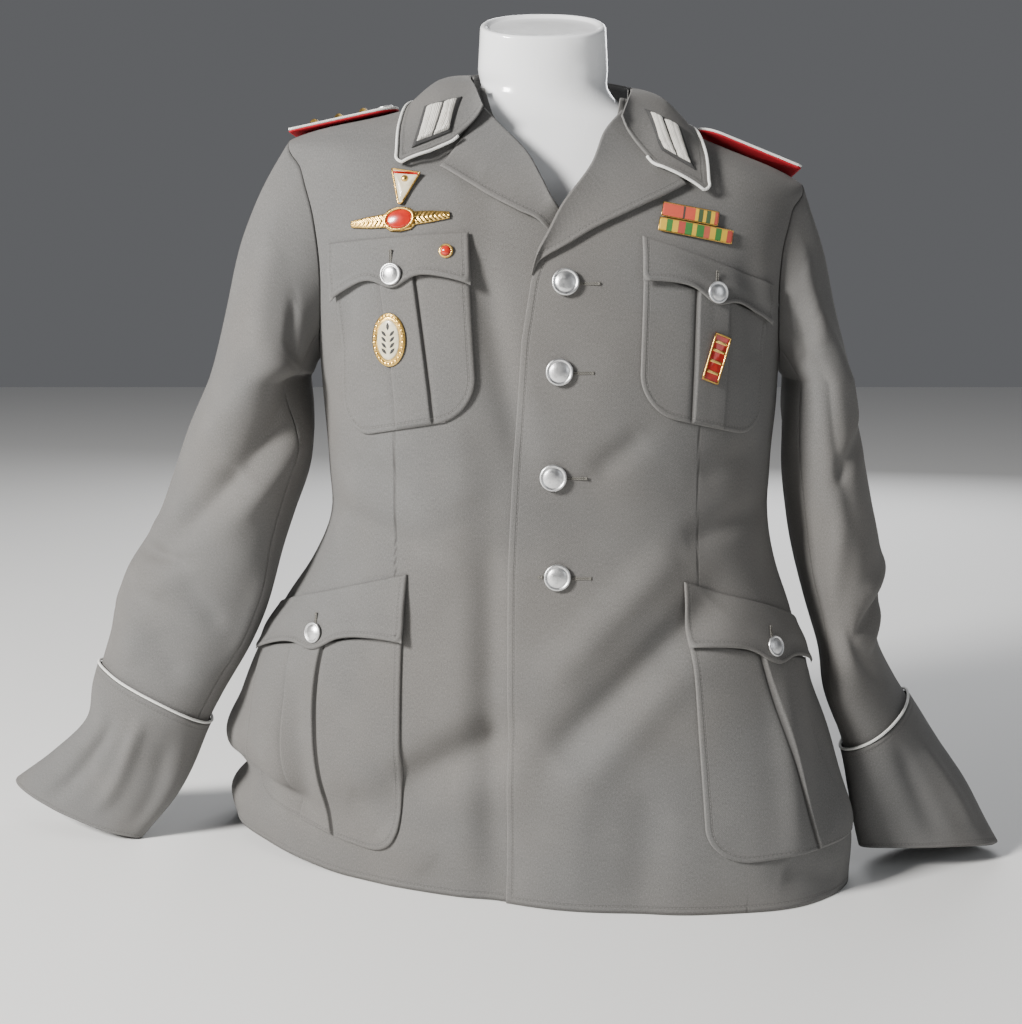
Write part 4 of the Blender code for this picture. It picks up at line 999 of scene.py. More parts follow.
def cloth_material(name, inset):
    """Stone-grey twill of heathered wool, with a row of stitches at inset from its stitched edges, and painted shade
    darkening its stitch grooves, darts and pleat folds.
    """
    made, shader, build = material(name, 0.88)
    twill = build.node("ShaderNodeGroup", node_tree=TWILL)
    build.tree.links.new(build.uv("weave"), twill.inputs["Weave"])
    stitching = build.node("ShaderNodeGroup", node_tree=STITCHING)
    build.tree.links.new(build.uv("seam"), stitching.inputs["Seam"])
    stitching.inputs["Inset"].default_value = inset
    crease = build.node("ShaderNodeAttribute", attribute_name="crease").outputs["Fac"]
    dart = build.between(crease, 0.0, 0.0022, 1.0, 0.0)
    place = build.place()
    patches = build.noise(place, 5.0, 3.0)
    faded = build.noise(place, 28.0, 4.0, 0.6)
    base = build.colour(build.between(patches, 0.35, 0.65), CLOTH_WARM, CLOTH_COOL)
    fibres = twill.outputs["Fibres"]
    base = build.colour(build.between(fibres, 0.32, 0.52, 0.42, 0.0), base, CLOTH_DARK)
    base = build.colour(build.between(fibres, 0.50, 0.70, 0.0, 0.40), base, CLOTH_LIGHT)
    base = build.colour(build.math("MULTIPLY", twill.outputs["Ribs"], 0.12), base, CLOTH_DARK)
    base = build.colour(build.between(faded, 0.40, 0.75, 0.0, 0.07), base, CLOTH_LIGHT)
    # Painted shade: the colour is darkened along the sunk stitch lines and beside the darts and pleat folds, where
    # shade falls.
    sunk = build.math("MULTIPLY", stitching.outputs["Sunk"], 0.32)
    painted_groove_shade = build.math("MAXIMUM", sunk, build.math("MULTIPLY", dart, 0.85))
    base = build.colour(painted_groove_shade, base, CLOTH_DARK)
    base = build.colour(build.math("MULTIPLY", stitching.outputs["Worn"], 0.22), base, CLOTH_LIGHT)
    base = build.colour(build.math("MULTIPLY", stitching.outputs["Thread"], 0.28), base, CLOTH_LIGHT)
    link(build, base, shader, "Base Color")
    weave = build.bump(twill.outputs["Height"], 0.30, 0.0004)
    drawn = build.math("ADD", dart, stitching.outputs["Sunk"])
    pucker = build.math("MULTIPLY", build.noise(build.uv("weave"), 160.0, 2.0), drawn)
    height = build.math("SUBTRACT", stitching.outputs["Height"], build.math("MULTIPLY", dart, 1.2))
    height = build.math("ADD", height, build.math("MULTIPLY", pucker, 0.5))
    link(build, build.bump(height, 0.8, 0.0006, weave), shader, "Normal")
    shader.inputs["Specular IOR Level"].default_value = 0.25
    shader.inputs["Sheen Weight"].default_value = 0.07
    shader.inputs["Sheen Roughness"].default_value = 0.5
    shader.inputs["Sheen Tint"].default_value = (0.80, 0.78, 0.74, 1)
    return made


def felt_material(name, colour, lighter, sheen):
    """Pressed felt with short fibres lying every way."""
    made, shader, build = material(name, 0.92)
    weave = build.uv("weave")
    fuzz = build.noise(build.stretched(weave, (1400, 1400, 0)), 1.0, 3.0, 0.7)
    blotch = build.noise(build.place(), 60.0, 3.0)
    base = build.colour(build.between(fuzz, 0.35, 0.75), colour, lighter)
    base = build.colour(build.between(blotch, 0.4, 0.8, 0.0, 0.4), base, lighter)
    link(build, base, shader, "Base Color")
    link(build, build.bump(fuzz, 0.35, 0.0004), shader, "Normal")
    shader.inputs["Specular IOR Level"].default_value = 0.2
    shader.inputs["Sheen Weight"].default_value = sheen
    shader.inputs["Sheen Tint"].default_value = (*lighter, 1)
    return made


def cord_material(name, light, dark):
    """White cotton cord, its strands twisted round it."""
    made, shader, build = material(name, 0.72)
    u, v = build.split(build.uv("weave"))
    strands = build.waves(build.math("ADD", build.math("MULTIPLY", u, 1.2), v), 0.0021)
    hair = build.noise(build.stretched(build.uv("weave"), (2500, 1200, 0)), 1.0, 2.0)
    soil = build.noise(build.place(), 40.0, 3.0)
    base = build.colour(build.between(strands, -1.0, 0.0, 0.45, 0.0), light, dark)
    base = build.colour(build.between(soil, 0.45, 0.8, 0.0, 0.3), base, dark)
    link(build, base, shader, "Base Color")
    height = build.math("ADD", strands, build.math("MULTIPLY", hair, 0.6))
    link(build, build.bump(height, 0.5, 0.0004), shader, "Normal")
    shader.inputs["Sheen Weight"].default_value = 0.2
    return made


def braid_material(name, light, dark, metallic, pitch):
    """Metal thread laid side by side in close rows."""
    made, shader, build = material(name, 0.42, metallic)
    u, v = build.split(build.uv("weave"))
    rows = build.waves(u, pitch)
    turns = build.waves(v, pitch * 0.45)
    rough = build.noise(build.stretched(build.uv("weave"), (900, 900, 0)), 1.0, 2.0)
    dull = build.noise(build.place(), 90.0, 3.0)
    base = build.colour(build.between(rows, -1.0, 0.1, 0.75, 0.0), light, dark)
    base = build.colour(build.between(dull, 0.45, 0.75, 0.0, 0.35), base, dark)
    link(build, base, shader, "Base Color")
    height = build.math("ADD", rows, build.math("MULTIPLY", turns, 0.35))
    height = build.math("ADD", height, build.math("MULTIPLY", rough, 0.5))
    link(build, build.bump(height, 0.6, 0.0005), shader, "Normal")
    link(build, build.between(dull, 0.3, 0.8, 0.36, 0.62), shader, "Roughness")
    return made


def metal_material(name, light, dark, roughness, grain=0.2):
    """Plated metal, dull in its hollows and rubbed bright on what stands out."""
    made, shader, build = material(name, roughness, 1.0)
    place = build.place()
    spots = build.noise(place, 160.0, 4.0, 0.6)
    fine = build.noise(place, 900.0, 2.0)
    edges = build.node("ShaderNodeNewGeometry").outputs["Pointiness"]
    base = build.colour(build.between(spots, 0.45, 0.75, 0.0, 0.6), light, dark)
    base = build.colour(build.between(edges, 0.40, 0.50, 0.7, 0.0), base, dark)
    link(build, base, shader, "Base Color")
    link(build, build.between(spots, 0.3, 0.7, roughness - 0.06, roughness + 0.14), shader, "Roughness")
    link(build, build.bump(fine, grain, 0.0003), shader, "Normal")
    return made


def enamel_material(name, light, dark):
    """Glassy enamel, a little uneven in colour."""
    made, shader, build = material(name, 0.22)
    cloud = build.noise(build.place(), 140.0, 3.0)
    link(build, build.colour(build.between(cloud, 0.35, 0.7), light, dark), shader, "Base Color")
    link(build, build.bump(cloud, 0.08, 0.001), shader, "Normal")
    shader.inputs["Coat Weight"].default_value = 0.4
    return made


def ribbon_material(name, bands):
    """Silk ribbon in stripes: (where a stripe starts, from 0 to 1 along the bar, and its colour)."""
    made, shader, build = material(name, 0.62)
    along, _ = build.split(build.uv("seam"))
    ramp = build.node("ShaderNodeValToRGB", {"Fac": along})
    ramp.color_ramp.interpolation = "CONSTANT"
    points = ramp.color_ramp.elements
    points[0].color = (*bands[0][1], 1)
    points.remove(points[1])
    for start, colour in bands[1:]:
        points.new(start).color = (*colour, 1)
    threads = build.waves(build.split(build.uv("weave"))[0], 0.0006)
    rib = build.waves(build.split(build.uv("weave"))[1], 0.0011)
    shade = build.math("MULTIPLY_ADD", threads, 0.08, 0.14)
    link(build, build.colour(shade, ramp.outputs["Color"], (0.05, 0.04, 0.03)), shader, "Base Color")
    link(build, build.bump(build.math("ADD", threads, rib), 0.3, 0.0003), shader, "Normal")
    shader.inputs["Sheen Weight"].default_value = 0.15
    return made


def plastic_material():
    """Glossy white moulded plastic with a slight orange-peel and faint scuffs."""
    made, shader, build = material("glossy_white_plastic", 0.20)
    place = build.place()
    scuffs = build.noise(build.stretched(place, (30, 30, 8)), 1.0, 5.0, 0.7)
    peel = build.noise(place, 45.0, 2.0)
    base = build.colour(build.between(scuffs, 0.5, 0.8, 0.0, 0.5), (0.93, 0.94, 0.95), (0.84, 0.85, 0.86))
    link(build, base, shader, "Base Color")
    link(build, build.between(scuffs, 0.40, 0.75, 0.13, 0.34), shader, "Roughness")
    link(build, build.bump(peel, 0.06, 0.002), shader, "Normal")
    shader.inputs["Coat Weight"].default_value = 0.35
    return made


def floor_material():
    """A pale, slightly clouded floor."""
    made, shader, build = material("pale_floor", 0.7)
    cloud = build.noise(build.place(), 0.8, 2.0)
    link(build, build.colour(cloud, (0.84, 0.84, 0.83), (0.87, 0.87, 0.86)), shader, "Base Color")
    return made


RIBBON_RED = (0.66, 0.075, 0.035)
RIBBON_GOLD = (0.78, 0.48, 0.015)
RIBBON_AMBER = (0.76, 0.47, 0.02)
RIBBON_GREEN = (0.03, 0.20, 0.03)
RIBBON_BRICK = (0.50, 0.06, 0.04)
UPPER_STRIPES = (
    (0.00, RIBBON_RED), (0.36, (0.05, 0.04, 0.03)), (0.40, RIBBON_RED), (0.58, RIBBON_GOLD),
    (0.64, (0.04, 0.09, 0.03)), (0.72, RIBBON_GOLD), (0.78, (0.04, 0.10, 0.03)), (0.86, RIBBON_GOLD),
    (0.93, (0.50, 0.07, 0.04)),
)
LOWER_STRIPES = (
    (0.00, RIBBON_AMBER), (0.09, RIBBON_GREEN), (0.17, RIBBON_AMBER), (0.25, RIBBON_BRICK),
    (0.34, RIBBON_GREEN), (0.44, RIBBON_AMBER), (0.50, RIBBON_GREEN), (0.60, (0.55, 0.10, 0.05)),
    (0.68, RIBBON_AMBER), (0.76, RIBBON_GREEN), (0.84, RIBBON_AMBER), (0.92, RIBBON_BRICK),
)

GREY = cloth_material("stone_grey_twill", 0.0060)
GREY_NARROW = cloth_material("stone_grey_twill_narrow_stitch", 0.0050)
PIPING = cord_material("white_piping_cord", (0.82, 0.82, 0.79), (0.50, 0.49, 0.46))
DARK_FELT = felt_material("charcoal_felt", (0.030, 0.030, 0.031), (0.085, 0.084, 0.082), 0.25)
RED_FELT = felt_material("scarlet_felt", (0.30, 0.006, 0.014), (0.42, 0.020, 0.030), 0.10)
BULLION = braid_material("cream_bullion", (0.88, 0.86, 0.81), (0.40, 0.37, 0.31), 0.15, 0.0016)
BRAID = braid_material("silver_braid", (0.74, 0.73, 0.70), (0.26, 0.25, 0.24), 0.55, 0.0042)
SILVER = metal_material("matt_silver", (0.76, 0.76, 0.76), (0.36, 0.36, 0.36), 0.34, 0.35)
GILT = metal_material("gilt", (0.88, 0.58, 0.17), (0.34, 0.18, 0.04), 0.24)
CREAM = enamel_material("cream_enamel", (0.74, 0.68, 0.50), (0.60, 0.53, 0.36))
RED_ENAMEL = enamel_material("red_enamel", (0.50, 0.020, 0.008), (0.34, 0.010, 0.006))
PLASTIC = plastic_material()
HOLE_THREAD = cord_material("buttonhole_thread", (0.135, 0.128, 0.112), (0.040, 0.037, 0.032))
RIBBON_UPPER = ribbon_material("ribbon_upper_stripes", UPPER_STRIPES)
RIBBON_LOWER = ribbon_material("ribbon_lower_stripes", LOWER_STRIPES)

LIE_GAP = 0.0010
CUFF_GAP = 0.00158
PIPING_R = 0.0014
PLEAT_RISE = 0.0014
CHEST_POCKET_TOP = LIE_GAP * 1.3 + PLEAT_RISE + 0.0015
SEAM_DIP = 0.0005
SEAM_DIP_REACH = 0.0016

DARTS = (
    # x and z of the ends of sewn darts and panel seams on the fronts
    (-0.137, 0.450, -0.138, 0.285),
    (0.127, 0.440, 0.128, 0.275),
    (0.171, 0.042, 0.171, 0.000),
)


def dart_distance(points):
    """Each front point's distance to the nearest sewn dart."""
    x, z = points[..., 0], points[..., 2]
    least = np.ones(x.shape)
    for x0, z0, x1, z1 in DARTS:
        t = np.clip(((x - x0) * (x1 - x0) + (z - z0) * (z1 - z0)) / ((x1 - x0) ** 2 + (z1 - z0) ** 2), 0, 1)
        off = np.hypot(x - x0 - t * (x1 - x0), z - z0 - t * (z1 - z0))
        least = np.where(points[..., 1] < 0, np.minimum(least, off), least)
    return least


def seam_dip(away):
    """How deep the cloth is drawn in beside a seam."""
    return SEAM_DIP * np.exp(-((away / SEAM_DIP_REACH) ** 2))


def coat_levels():
    """Heights of the coat's rows, closer together at the ends of the armhole."""
    low = np.arange(0.0006, ARMPIT_Z - 0.001, 0.0038)
    middle, half = (ARMPIT_Z + SHOULDER_Z) / 2, (SHOULDER_Z - ARMPIT_Z) / 2
    armhole = middle - half * np.cos(np.radians(np.linspace(0, 180, 49)))
    return np.concatenate([low, armhole, np.linspace(SHOULDER_Z, NECK_Z, 17)[1:]])


def outer_edge(z, sign, half):
    """Distance along the cloth to the side seam, the armhole's edge or the shoulder seam."""
    cut = (z > ARMPIT_Z) & (z < SHOULDER_Z)
    gape = np.where(cut, np.maximum(column(ARMHOLE, half, z), 0.0), 0.0)
    turn = -1 if half == "front" else 1
    return side_line(z, sign) + sign * turn * (gape + SEAM_GAP)


def coat_front(side):
    """A front from its free edge to the side seam and the armhole."""
    sign = SIGN[side]
    z = coat_levels()[:, None]
    inner = at_x(z, np.interp(z, EDGE["z"], EDGE[side]))
    outer = outer_edge(z, sign, "front")
    t = fine_ends(94, (0.0, 0.002, 0.006, 0.012))[None]
    s = inner + (outer - inner) * t
    points = coat(z, s)
    points -= coat_normal(z, s) * seam_dip(np.abs(outer - s))[..., None]
    if side == "right":
        points -= coat_normal(z, s) * overlap_inset(z, points[..., 0])[..., None]
    weave = np.stack([s, z + 0 * s], axis=-1)
    seam = edge_seam(points, "lb")
    # Distance to the darts: the cloth's colour is darkened there as painted shade, and drawn in by its bump.
    crease = dart_distance(points)
    if sign < 0:
        points, weave, seam, crease = facing_left(points, weave, seam, crease)
    made = grid(f"coat_front_{side}", points, weave, seam, crease)
    thicken(made, CLOTH)
    return finished(made, GREY, [f"{side}_front"]), weave


def coat_back(side):
    """Half of the back, from the side seam to the centre seam."""
    sign = SIGN[side]
    z = coat_levels()[:, None]
    middle = level_value(z, 1 if sign > 0 else 0) * (1 if sign > 0 else -1) - sign * SEAM_GAP
    outer = outer_edge(z, sign, "back")
    t = fine_ends(72, (0.0, 0.002, 0.006, 0.012))[None]
    s = outer + (middle - outer) * t
    points = coat(z, s)
    away = np.minimum(np.abs(outer - s), np.abs(middle - s))
    points -= coat_normal(z, s) * seam_dip(away)[..., None]
    weave = np.stack([s - middle, z + 0 * s], axis=-1)
    seam = edge_seam(points, "b")
    if sign < 0:
        points, weave, seam = facing_left(points, weave, seam)
    made = grid(f"coat_back_{side}", points, weave, seam)
    thicken(made, CLOTH)
    return finished(made, GREY, [f"{side}_back"]), weave


def sleeve_levels(side):
    """Heights of a sleeve's rows, closer together over its head."""
    foot = SLEEVE_FOOT_Z[side]
    return np.concatenate([np.linspace(foot, SECTION_TOP_Z, 125), np.linspace(SECTION_TOP_Z, SHOULDER_Z, 60)[1:]])


def sleeve_panel(side, name, start, stop, count):
    """A sleeve's panel between two seams, given as phi in degrees."""
    z = sleeve_levels(side)[:, None]
    phi = start + (stop - start) * fine_ends(count, (0.0, 0.003, 0.008, 0.016))[None]
    seam_gap = np.minimum(np.abs(phi - start), np.abs(phi - stop)) * METRES_PER_DEGREE
    points = sleeve(side, z, phi, -seam_dip(seam_gap) * (1 - ease(z, 0.63, SHOULDER_Z)))
    weave = laid_flat(points)
    seam = np.stack(np.broadcast_arrays(z, 1 + 0 * phi), axis=-1)
    if side == "right":
        points, weave, seam = facing_left(points, weave, seam)
    made = grid(f"{name}_sleeve_{side}", points, weave, seam)
    thicken(made, CLOTH)
    return finished(made, GREY, [f"{side}_{name}_sleeve"]), weave


def cuff_top(side, phi):
    """The height of the slanting top of a turned-up cuff."""
    return CUFF_TOP_Z[side] + CUFF_SLOPE[side] * np.cos(np.radians(phi))


def cuff(side):
    """A turned-up cuff with the cord along its top."""
    foot = SLEEVE_FOOT_Z[side]
    phi = np.linspace(360, 0, 121)[None]
    t = fine_ends(34, (0.0, 0.004, 0.012, 0.022))[:, None]
    top = cuff_top(side, phi)
    z = foot + (top - foot) * t
    away = np.minimum(z - foot, top - z)
    points = sleeve(side, z, phi, CUFF_GAP + 0.0002 + rolled(away, CLOTH, 0.0018))
    weave = laid_flat(points)
    seam = edge_seam(points, "bt")
    if side == "right":
        points, weave, seam = facing_left(points, weave, seam)
    made = grid(f"cuff_{side}", points, weave, seam, joined=True)
    thicken(made, 0.0008)
    made = finished(made, GREY, [f"{side}_cuff"])
    ring = sleeve(side, cuff_top(side, phi[0, :-1]) + PIPING_R + 0.0004, phi[0, :-1], CUFF_GAP + PIPING_R)
    path = smooth_path(np.concatenate([ring, ring[:1]]), 0.0020)[:-1]
    piping = cord(f"cuff_piping_{side}", path, PIPING_R, closed=True, twist=0.05)
    finished(piping, PIPING, [f"{side}_cuff_piping"])
    return made, weave, piping


def collar():
    """The collar's fall, rolled in at its top, and the stand inside it."""
    t = np.linspace(1, -1, 200)[None]
    w = fine_ends(38, (0.0, 0.006, 0.015, 0.03))[::-1][:, None]
    flat = collar_fall(t, w)
    roll_under = []
    inward = -unit(np.stack([collar_roll(t[0])[:, 0], collar_roll(t[0])[:, 1], 0 * t[0]], axis=-1))
    r = 0.0017
    for angle in np.radians((25, 50, 75, 100)):
        p = collar_roll(t[0]) + inward * (r * math.sin(angle)) * 1.1
        p[:, 2] -= r * (1 - math.cos(angle))
        roll_under.append(p)
    points = np.concatenate([flat, np.stack(roll_under)])
    weave = laid_flat(points)
    seam = edge_seam(points, "lrb")
    fall = thicken(grid("collar_fall_leaf", points, weave, seam), CLOTH)
    fall = finished(fall, GREY_NARROW, ["collar_fall"])
    t = np.linspace(0.62, -0.62, 120)[None]
    w = np.linspace(1, 0, 12)[:, None]
    roll = collar_roll(t) + 0 * w[..., None]
    foot_z = NECK_Z - COLLAR_SLOPE * roll[..., 0] + 0.0012
    foot = np.stack([roll[..., 0] * 0.95, roll[..., 1] * 0.90, foot_z], axis=-1)
    top = np.stack([roll[..., 0] * 0.955, roll[..., 1] * 0.955, roll[..., 2] - 0.0012], axis=-1)
    points = top + (foot - top) * w[..., None]
    stand_weave = laid_flat(points)
    stand = thicken(grid("collar_stand_band", points, stand_weave, edge_seam(points, "tb")), 0.0009)
    stand = finished(stand, GREY_NARROW, ["collar_stand"])
    return fall, weave, stand, stand_weave


def collar_piping(side):
    """The cord round a collar point: along the outer edge, round the tip and down the front end."""
    sign = SIGN[side]
    out = PIPING_R + 0.0002
    edge = collar_fall(sign * np.linspace(0.36, 0.985, 26), 1.0)
    front = collar_fall(sign * 1.0, np.linspace(0.96, 0.40, 14))
    path = np.concatenate([
        edge + np.array([sign * out * 0.8, -out * 0.6, 0.0]),
        front + np.array([0.0, -out, -out * 0.9]),
    ])
    made = cord(f"collar_piping_cord_{side}", smooth_path(path, 0.0020), PIPING_R, twist=0.05)
    return finished(made, PIPING, [f"{side}_collar_piping"])


def out_of_collar(t, w):
    """The fall's outward direction."""
    step = 0.01
    along = collar_fall(t + step, w) - collar_fall(t - step, w)
    down = collar_fall(t, np.minimum(w + step, 1)) - collar_fall(t, w - step)
    out = unit(np.cross(along, down))
    return np.where(out[..., 2:] < 0, -out, out)


def on_patch(side, across, along):
    """The place and outward direction on a patch: across from its inner edge, along towards the front end."""
    (t0, w0), (t1, w1), (t2, w2), (t3, w3) = PATCH_CORNERS[side]
    t = (t0 + (t1 - t0) * across) * (1 - along) + (t2 + (t3 - t2) * across) * along
    w = (w0 + (w1 - w0) * across) * (1 - along) + (w2 + (w3 - w2) * across) * along
    return collar_fall(SIGN[side] * t, w), out_of_collar(SIGN[side] * t, w)


def collar_patch(side):
    """A bevelled felt patch with two ribbed bars of bullion, the dark felt showing between them."""
    along = fine_ends(40, (0.0, 0.02, 0.045, 0.08))[None]
    across = fine_ends(30, (0.0, 0.02, 0.05, 0.09))[::-1][:, None]
    points, out = on_patch(side, across, along)
    ways = [spans(points, 1), spans(points, 0)]
    ways += [ways[0][:, -1:] - ways[0], ways[1][-1:] - ways[1]]
    height = 0.0009 + 0.0018 * ease(np.minimum.reduce(ways), 0.0, 0.0030)
    points = points + out * height[..., None]
    weave = laid_flat(points)
    if side == "left":
        points, weave = facing_left(points, weave)
    patch = thicken(grid(f"collar_patch_felt_{side}", points, weave), 0.0006)
    patch = finished(patch, DARK_FELT, [f"{side}_collar_patch"])
    bars = []
    for number, (low, high) in enumerate(((0.10, 0.485), (0.515, 0.90))):
        along = np.linspace(0.08, 0.93, 150)[None]
        across = np.linspace(high, low, 17)[:, None]
        arch = np.sin(math.pi * (across - low) / (high - low)) ** 0.5
        ribs = 1 + 0.10 * np.sin(2 * math.pi * along * 26)
        centre = 1 - 0.22 * np.exp(-(((across - (low + high) / 2) / 0.03) ** 2))
        knot = 1 + 0.30 * ease(along, 0.80, 0.83) - 0.45 * np.exp(-(((along - 0.79) / 0.018) ** 2))
        ends = ease(np.minimum(along - 0.08, 0.93 - along), 0.0, 0.025) ** 0.5
        bar, out = on_patch(side, across, along)
        bar = bar + out * (0.0023 + 0.0024 * arch * ribs * centre * knot * ends)[..., None]
        flat = laid_flat(bar)[..., ::-1]
        if side == "left":
            bar, flat = facing_left(bar, flat)
        made = grid(f"collar_bar_{number + 1}_{side}", bar, flat)
        bars.append(finished(made, BULLION, [f"{side}_collar_bar_{number + 1}"]))
    return patch, weave, bars


def lapel(side):
    """The turned front edge, rolling over at the roll line and lying on the chest."""
    tab, sign = LAPEL[side], SIGN[side]
    steps = np.arange(len(tab["roll_x"]), dtype=float)
    turn = np.linspace(steps[-1], 0, 76)[:, None]
    at = {name: column({"way": steps, name: tab[name]}, name, turn, "way") for name in LAPEL_COLUMNS}
    width = np.hypot(at["edge_x"] - at["roll_x"], at["edge_z"] - at["roll_z"])
    under = np.radians(np.linspace(20, 180, 8))
    w = np.concatenate([0 * under, fine_ends(34, (0.0, 0.004, 0.012, 0.03))[1:]])[None]
    curl = np.concatenate([-np.sin(under) * 0.0024, np.zeros(w.shape[1] - len(under))])[None]
    tops = np.concatenate([(1 - np.cos(under)) / 2, np.ones(w.shape[1] - len(under))])[None]
    part = w + curl / np.maximum(width, 0.008)
    x = at["roll_x"] + (at["edge_x"] - at["roll_x"]) * part
    z = at["roll_z"] + (at["edge_z"] - at["roll_z"]) * part
    level, s = front_at(x, z)
    at_edge = 0.0030 * w**2 * (1 - ease(turn, steps[-1] - 1.4, steps[-1] - 0.2))
    lift = 0.0008 + (0.0045 * (1 - w) ** 2 + at_edge) * tops
    up = spans(np.stack([x, 0 * x, z], axis=-1), 0)
    away = np.minimum((1 - w) * width, up[-1:] - up)
    lift = lift + rolled(away, CLOTH, 0.0018) * tops
    low_end = ease(turn, steps[-1] - 1.0, steps[-1])
    if side == "right":
        lift = lift - overlap_inset(level, x) * 0.4
        lift = lift + (-0.0020 - 0.0009 * low_end - lift) * ease(turn, steps[-1] - 2.1, steps[-1] - 0.6)
    else:
        lift = lift * (1 - 0.75 * low_end)
    points = coat(level, s, lift)
    weave = laid_flat(points)
    away_seam = np.stack([spans(points, 0), np.maximum((1 - w) * width, 0.0)], axis=-1)
    if sign < 0:
        points, weave, away_seam = facing_left(points, weave, away_seam)
    made = thicken(grid(f"lapel_{side}", points, weave, away_seam), 0.0007)
    return finished(made, GREY_NARROW, [f"{side}_lapel"]), weave


def pocket_point(row, u, down):
    """(height, distance along the cloth) on a pocket: u across it outwards and down from its top edge."""
    part = np.clip(down / row["height"], 0.0, 1.0)
    slant = row["slant"] + (row["slant_low"] - row["slant"]) * part
    s = row["start"] + row["lean"] * down + row["width"] * u * (1 + row["spread"] * part)
    return row["top"] - slant * row["width"] * u - down, row["side"] * s


def pocket(row):
    """A patch pocket with round lower corners and a box pleat whose folds stand off the pocket."""
    r, height, width, half = POCKET_CORNER_R, row["height"], row["width"], row["pleat"] / 2
    rise = np.concatenate([[0.0, 0.0004, 0.0010, 0.0020], np.linspace(0.0036, height * 0.81, 62)])[:, None]
    cut = r - np.sqrt(np.maximum(r * r - np.maximum(r - rise, 0.0) ** 2, 0.0))
    down = height - rise
    pleat_at = width / 2 + row["pleat_lean"] * down + row["pleat_bow"] * np.sin(math.pi * down / height)
    edge = pleat_at - half
    side_t = fine_ends(22, (0.0, 0.008, 0.020, 0.040), last=False)
    fold = np.array([-0.0070, -0.0032, -0.0016, -0.0006, 0.0002, 0.0012, 0.0026])
    foot = np.array([0.0, -0.0002, -0.0010, -0.0013, 0.45, 1.0, 1.0])
    middle = np.linspace(0.0045, 2 * half - 0.0045, 9)
    left = cut + (edge - 0.0110 - cut) * side_t
    right = width - cut - (width - cut - edge - 2 * half - 0.0110) * side_t
    pleat = np.concatenate([fold, middle, 2 * half - fold[::-1]])
    across = np.concatenate([left, edge + pleat, right[:, ::-1]], axis=1)
    bumps = np.concatenate([foot, np.full(len(middle), 1.0), foot[::-1]])
    opened = row["open"] * (1 - np.clip(pleat / half, 0, 1)) * np.sin(math.pi * np.clip(down / height, 0, 1)) ** 0.6
    raised_by = np.where(bumps > 0.1, bumps * (PLEAT_RISE + opened), bumps * (1 - 0.5 * (pleat > half)))
    flat_sides = np.zeros((len(rise), left.shape[1]))
    raised_by = np.concatenate([flat_sides, raised_by, flat_sides], axis=1)
    a, b = np.minimum(across, width - across), rise + 0 * across
    corner = (a < r) & (b < r)
    away = np.where(corner, r - np.hypot(r - a, r - b), np.minimum(a, b))
    away = np.maximum(away, 0.0)
    lift = LIE_GAP * (1.3 if "chest" in row["name"] else 1.5)
    z, s = pocket_point(row, across / width, down)
    points = coat(np.maximum(z, 0.0006), s, lift + rolled(away, 0.0015) + raised_by * ease(rise, 0.0, 0.004))
    weave = np.stack([row["side"] * across, b], axis=-1)
    seam = np.stack([np.where(a < b, b, across), away], axis=-1)
    # Distance to the pleat's folds: the cloth's colour is darkened there as painted shade, and drawn in by its bump.
    crease = np.minimum(np.abs(across - edge + 0.0008), 0.0012 + np.abs(across - edge - 2 * half - 0.0008))
    if row["side"] < 0:
        points, weave, seam, crease = facing_left(points, weave, seam, crease)
    made = thicken(grid(f"{row['name']}_patch_pocket", points, weave, seam, crease), 0.0006)
    return finished(made, GREY_NARROW, [f"{row['name']}_pocket"]), weave


def flap_depth(row, u):
    """The scalloped lower edge: a point in the middle, a dip beside it and full corners."""
    c = np.abs(2 * u - 1)
    point = (row["point"] - row["dip"]) * np.exp(-((c / 0.24) ** 2))
    return row["dip"] + point + (row["end"] - row["dip"]) * c**2.2


def flap_lift(v):
    """How far a flap lies off the coat: v is 0 at its seam and 1 at its free edge."""
    return LIE_GAP * 1.3 + (PLEAT_RISE + 0.0021) * ease(v, 0.0, 0.6) + 0.0022 * ease(v, 0.72, 1.0)


def flap(row):
    """A pocket's scalloped flap."""
    u = (-0.015 + 1.03 * fine_ends(86, (0.0, 0.004, 0.010, 0.018)))[None]
    v = fine_ends(26, (0.0, 0.010, 0.030, 0.060))[::-1][:, None]
    depth = flap_depth(row, u)
    a = np.minimum(u + 0.015, 1.015 - u) * row["width"] + 0 * v
    b = (1 - v) * depth * 0.96
    top = v * depth
    r = 0.007
    away = np.where((a < r) & (b < r), r - np.hypot(r - a, r - b), np.minimum(a, b))
    stand = 0.0020 * np.exp(-np.maximum(u, 0) / 0.10) * v + 0.0006 * np.sin(9 * u) * v
    lift = flap_lift(v) + stand + rolled(np.maximum(np.minimum(away, top), 0), CLOTH, 0.0018)
    z, s = pocket_point(row, u, depth * v - 0.003)
    points = coat(z, s, lift)
    weave = np.stack([row["side"] * u * row["width"] + 0 * v, -depth * v], axis=-1)
    seam = np.stack([np.where(a < b, top, u * row["width"] + 0 * v), np.maximum(away, 0)], axis=-1)
    if row["side"] < 0:
        points, weave, seam = facing_left(points, weave, seam)
    made = thicken(grid(f"{row['name']}_pocket_flap", points, weave, seam), 0.0007)
    return finished(made, GREY_NARROW, [f"{row['name']}_flap"]), weave


def place_on_coat(level, s, lift, spin=0.0):
    """A place on the coat: own +Z outwards and own +Y up the cloth, turned by spin degrees."""
    level, s = float(level), float(s)
    out = coat_normal(level, s)
    up = unit(coat(level + 0.002, s) - coat(level - 0.002, s))
    across = unit(np.cross(up, out))
    up = np.cross(out, across)
    at = coat(level, s) + out * lift
    turn = Matrix(np.stack([across, up, out], axis=1).tolist()).to_4x4()
    return Matrix.Translation(at.tolist()) @ turn @ Matrix.Rotation(math.radians(spin), 4, "Z")


def at_view(x, z, lift, spin=0.0):
    """A place on the front that is seen at x and z in the front view."""
    level, s = front_at(x, z)
    return place_on_coat(level, s, lift, spin)


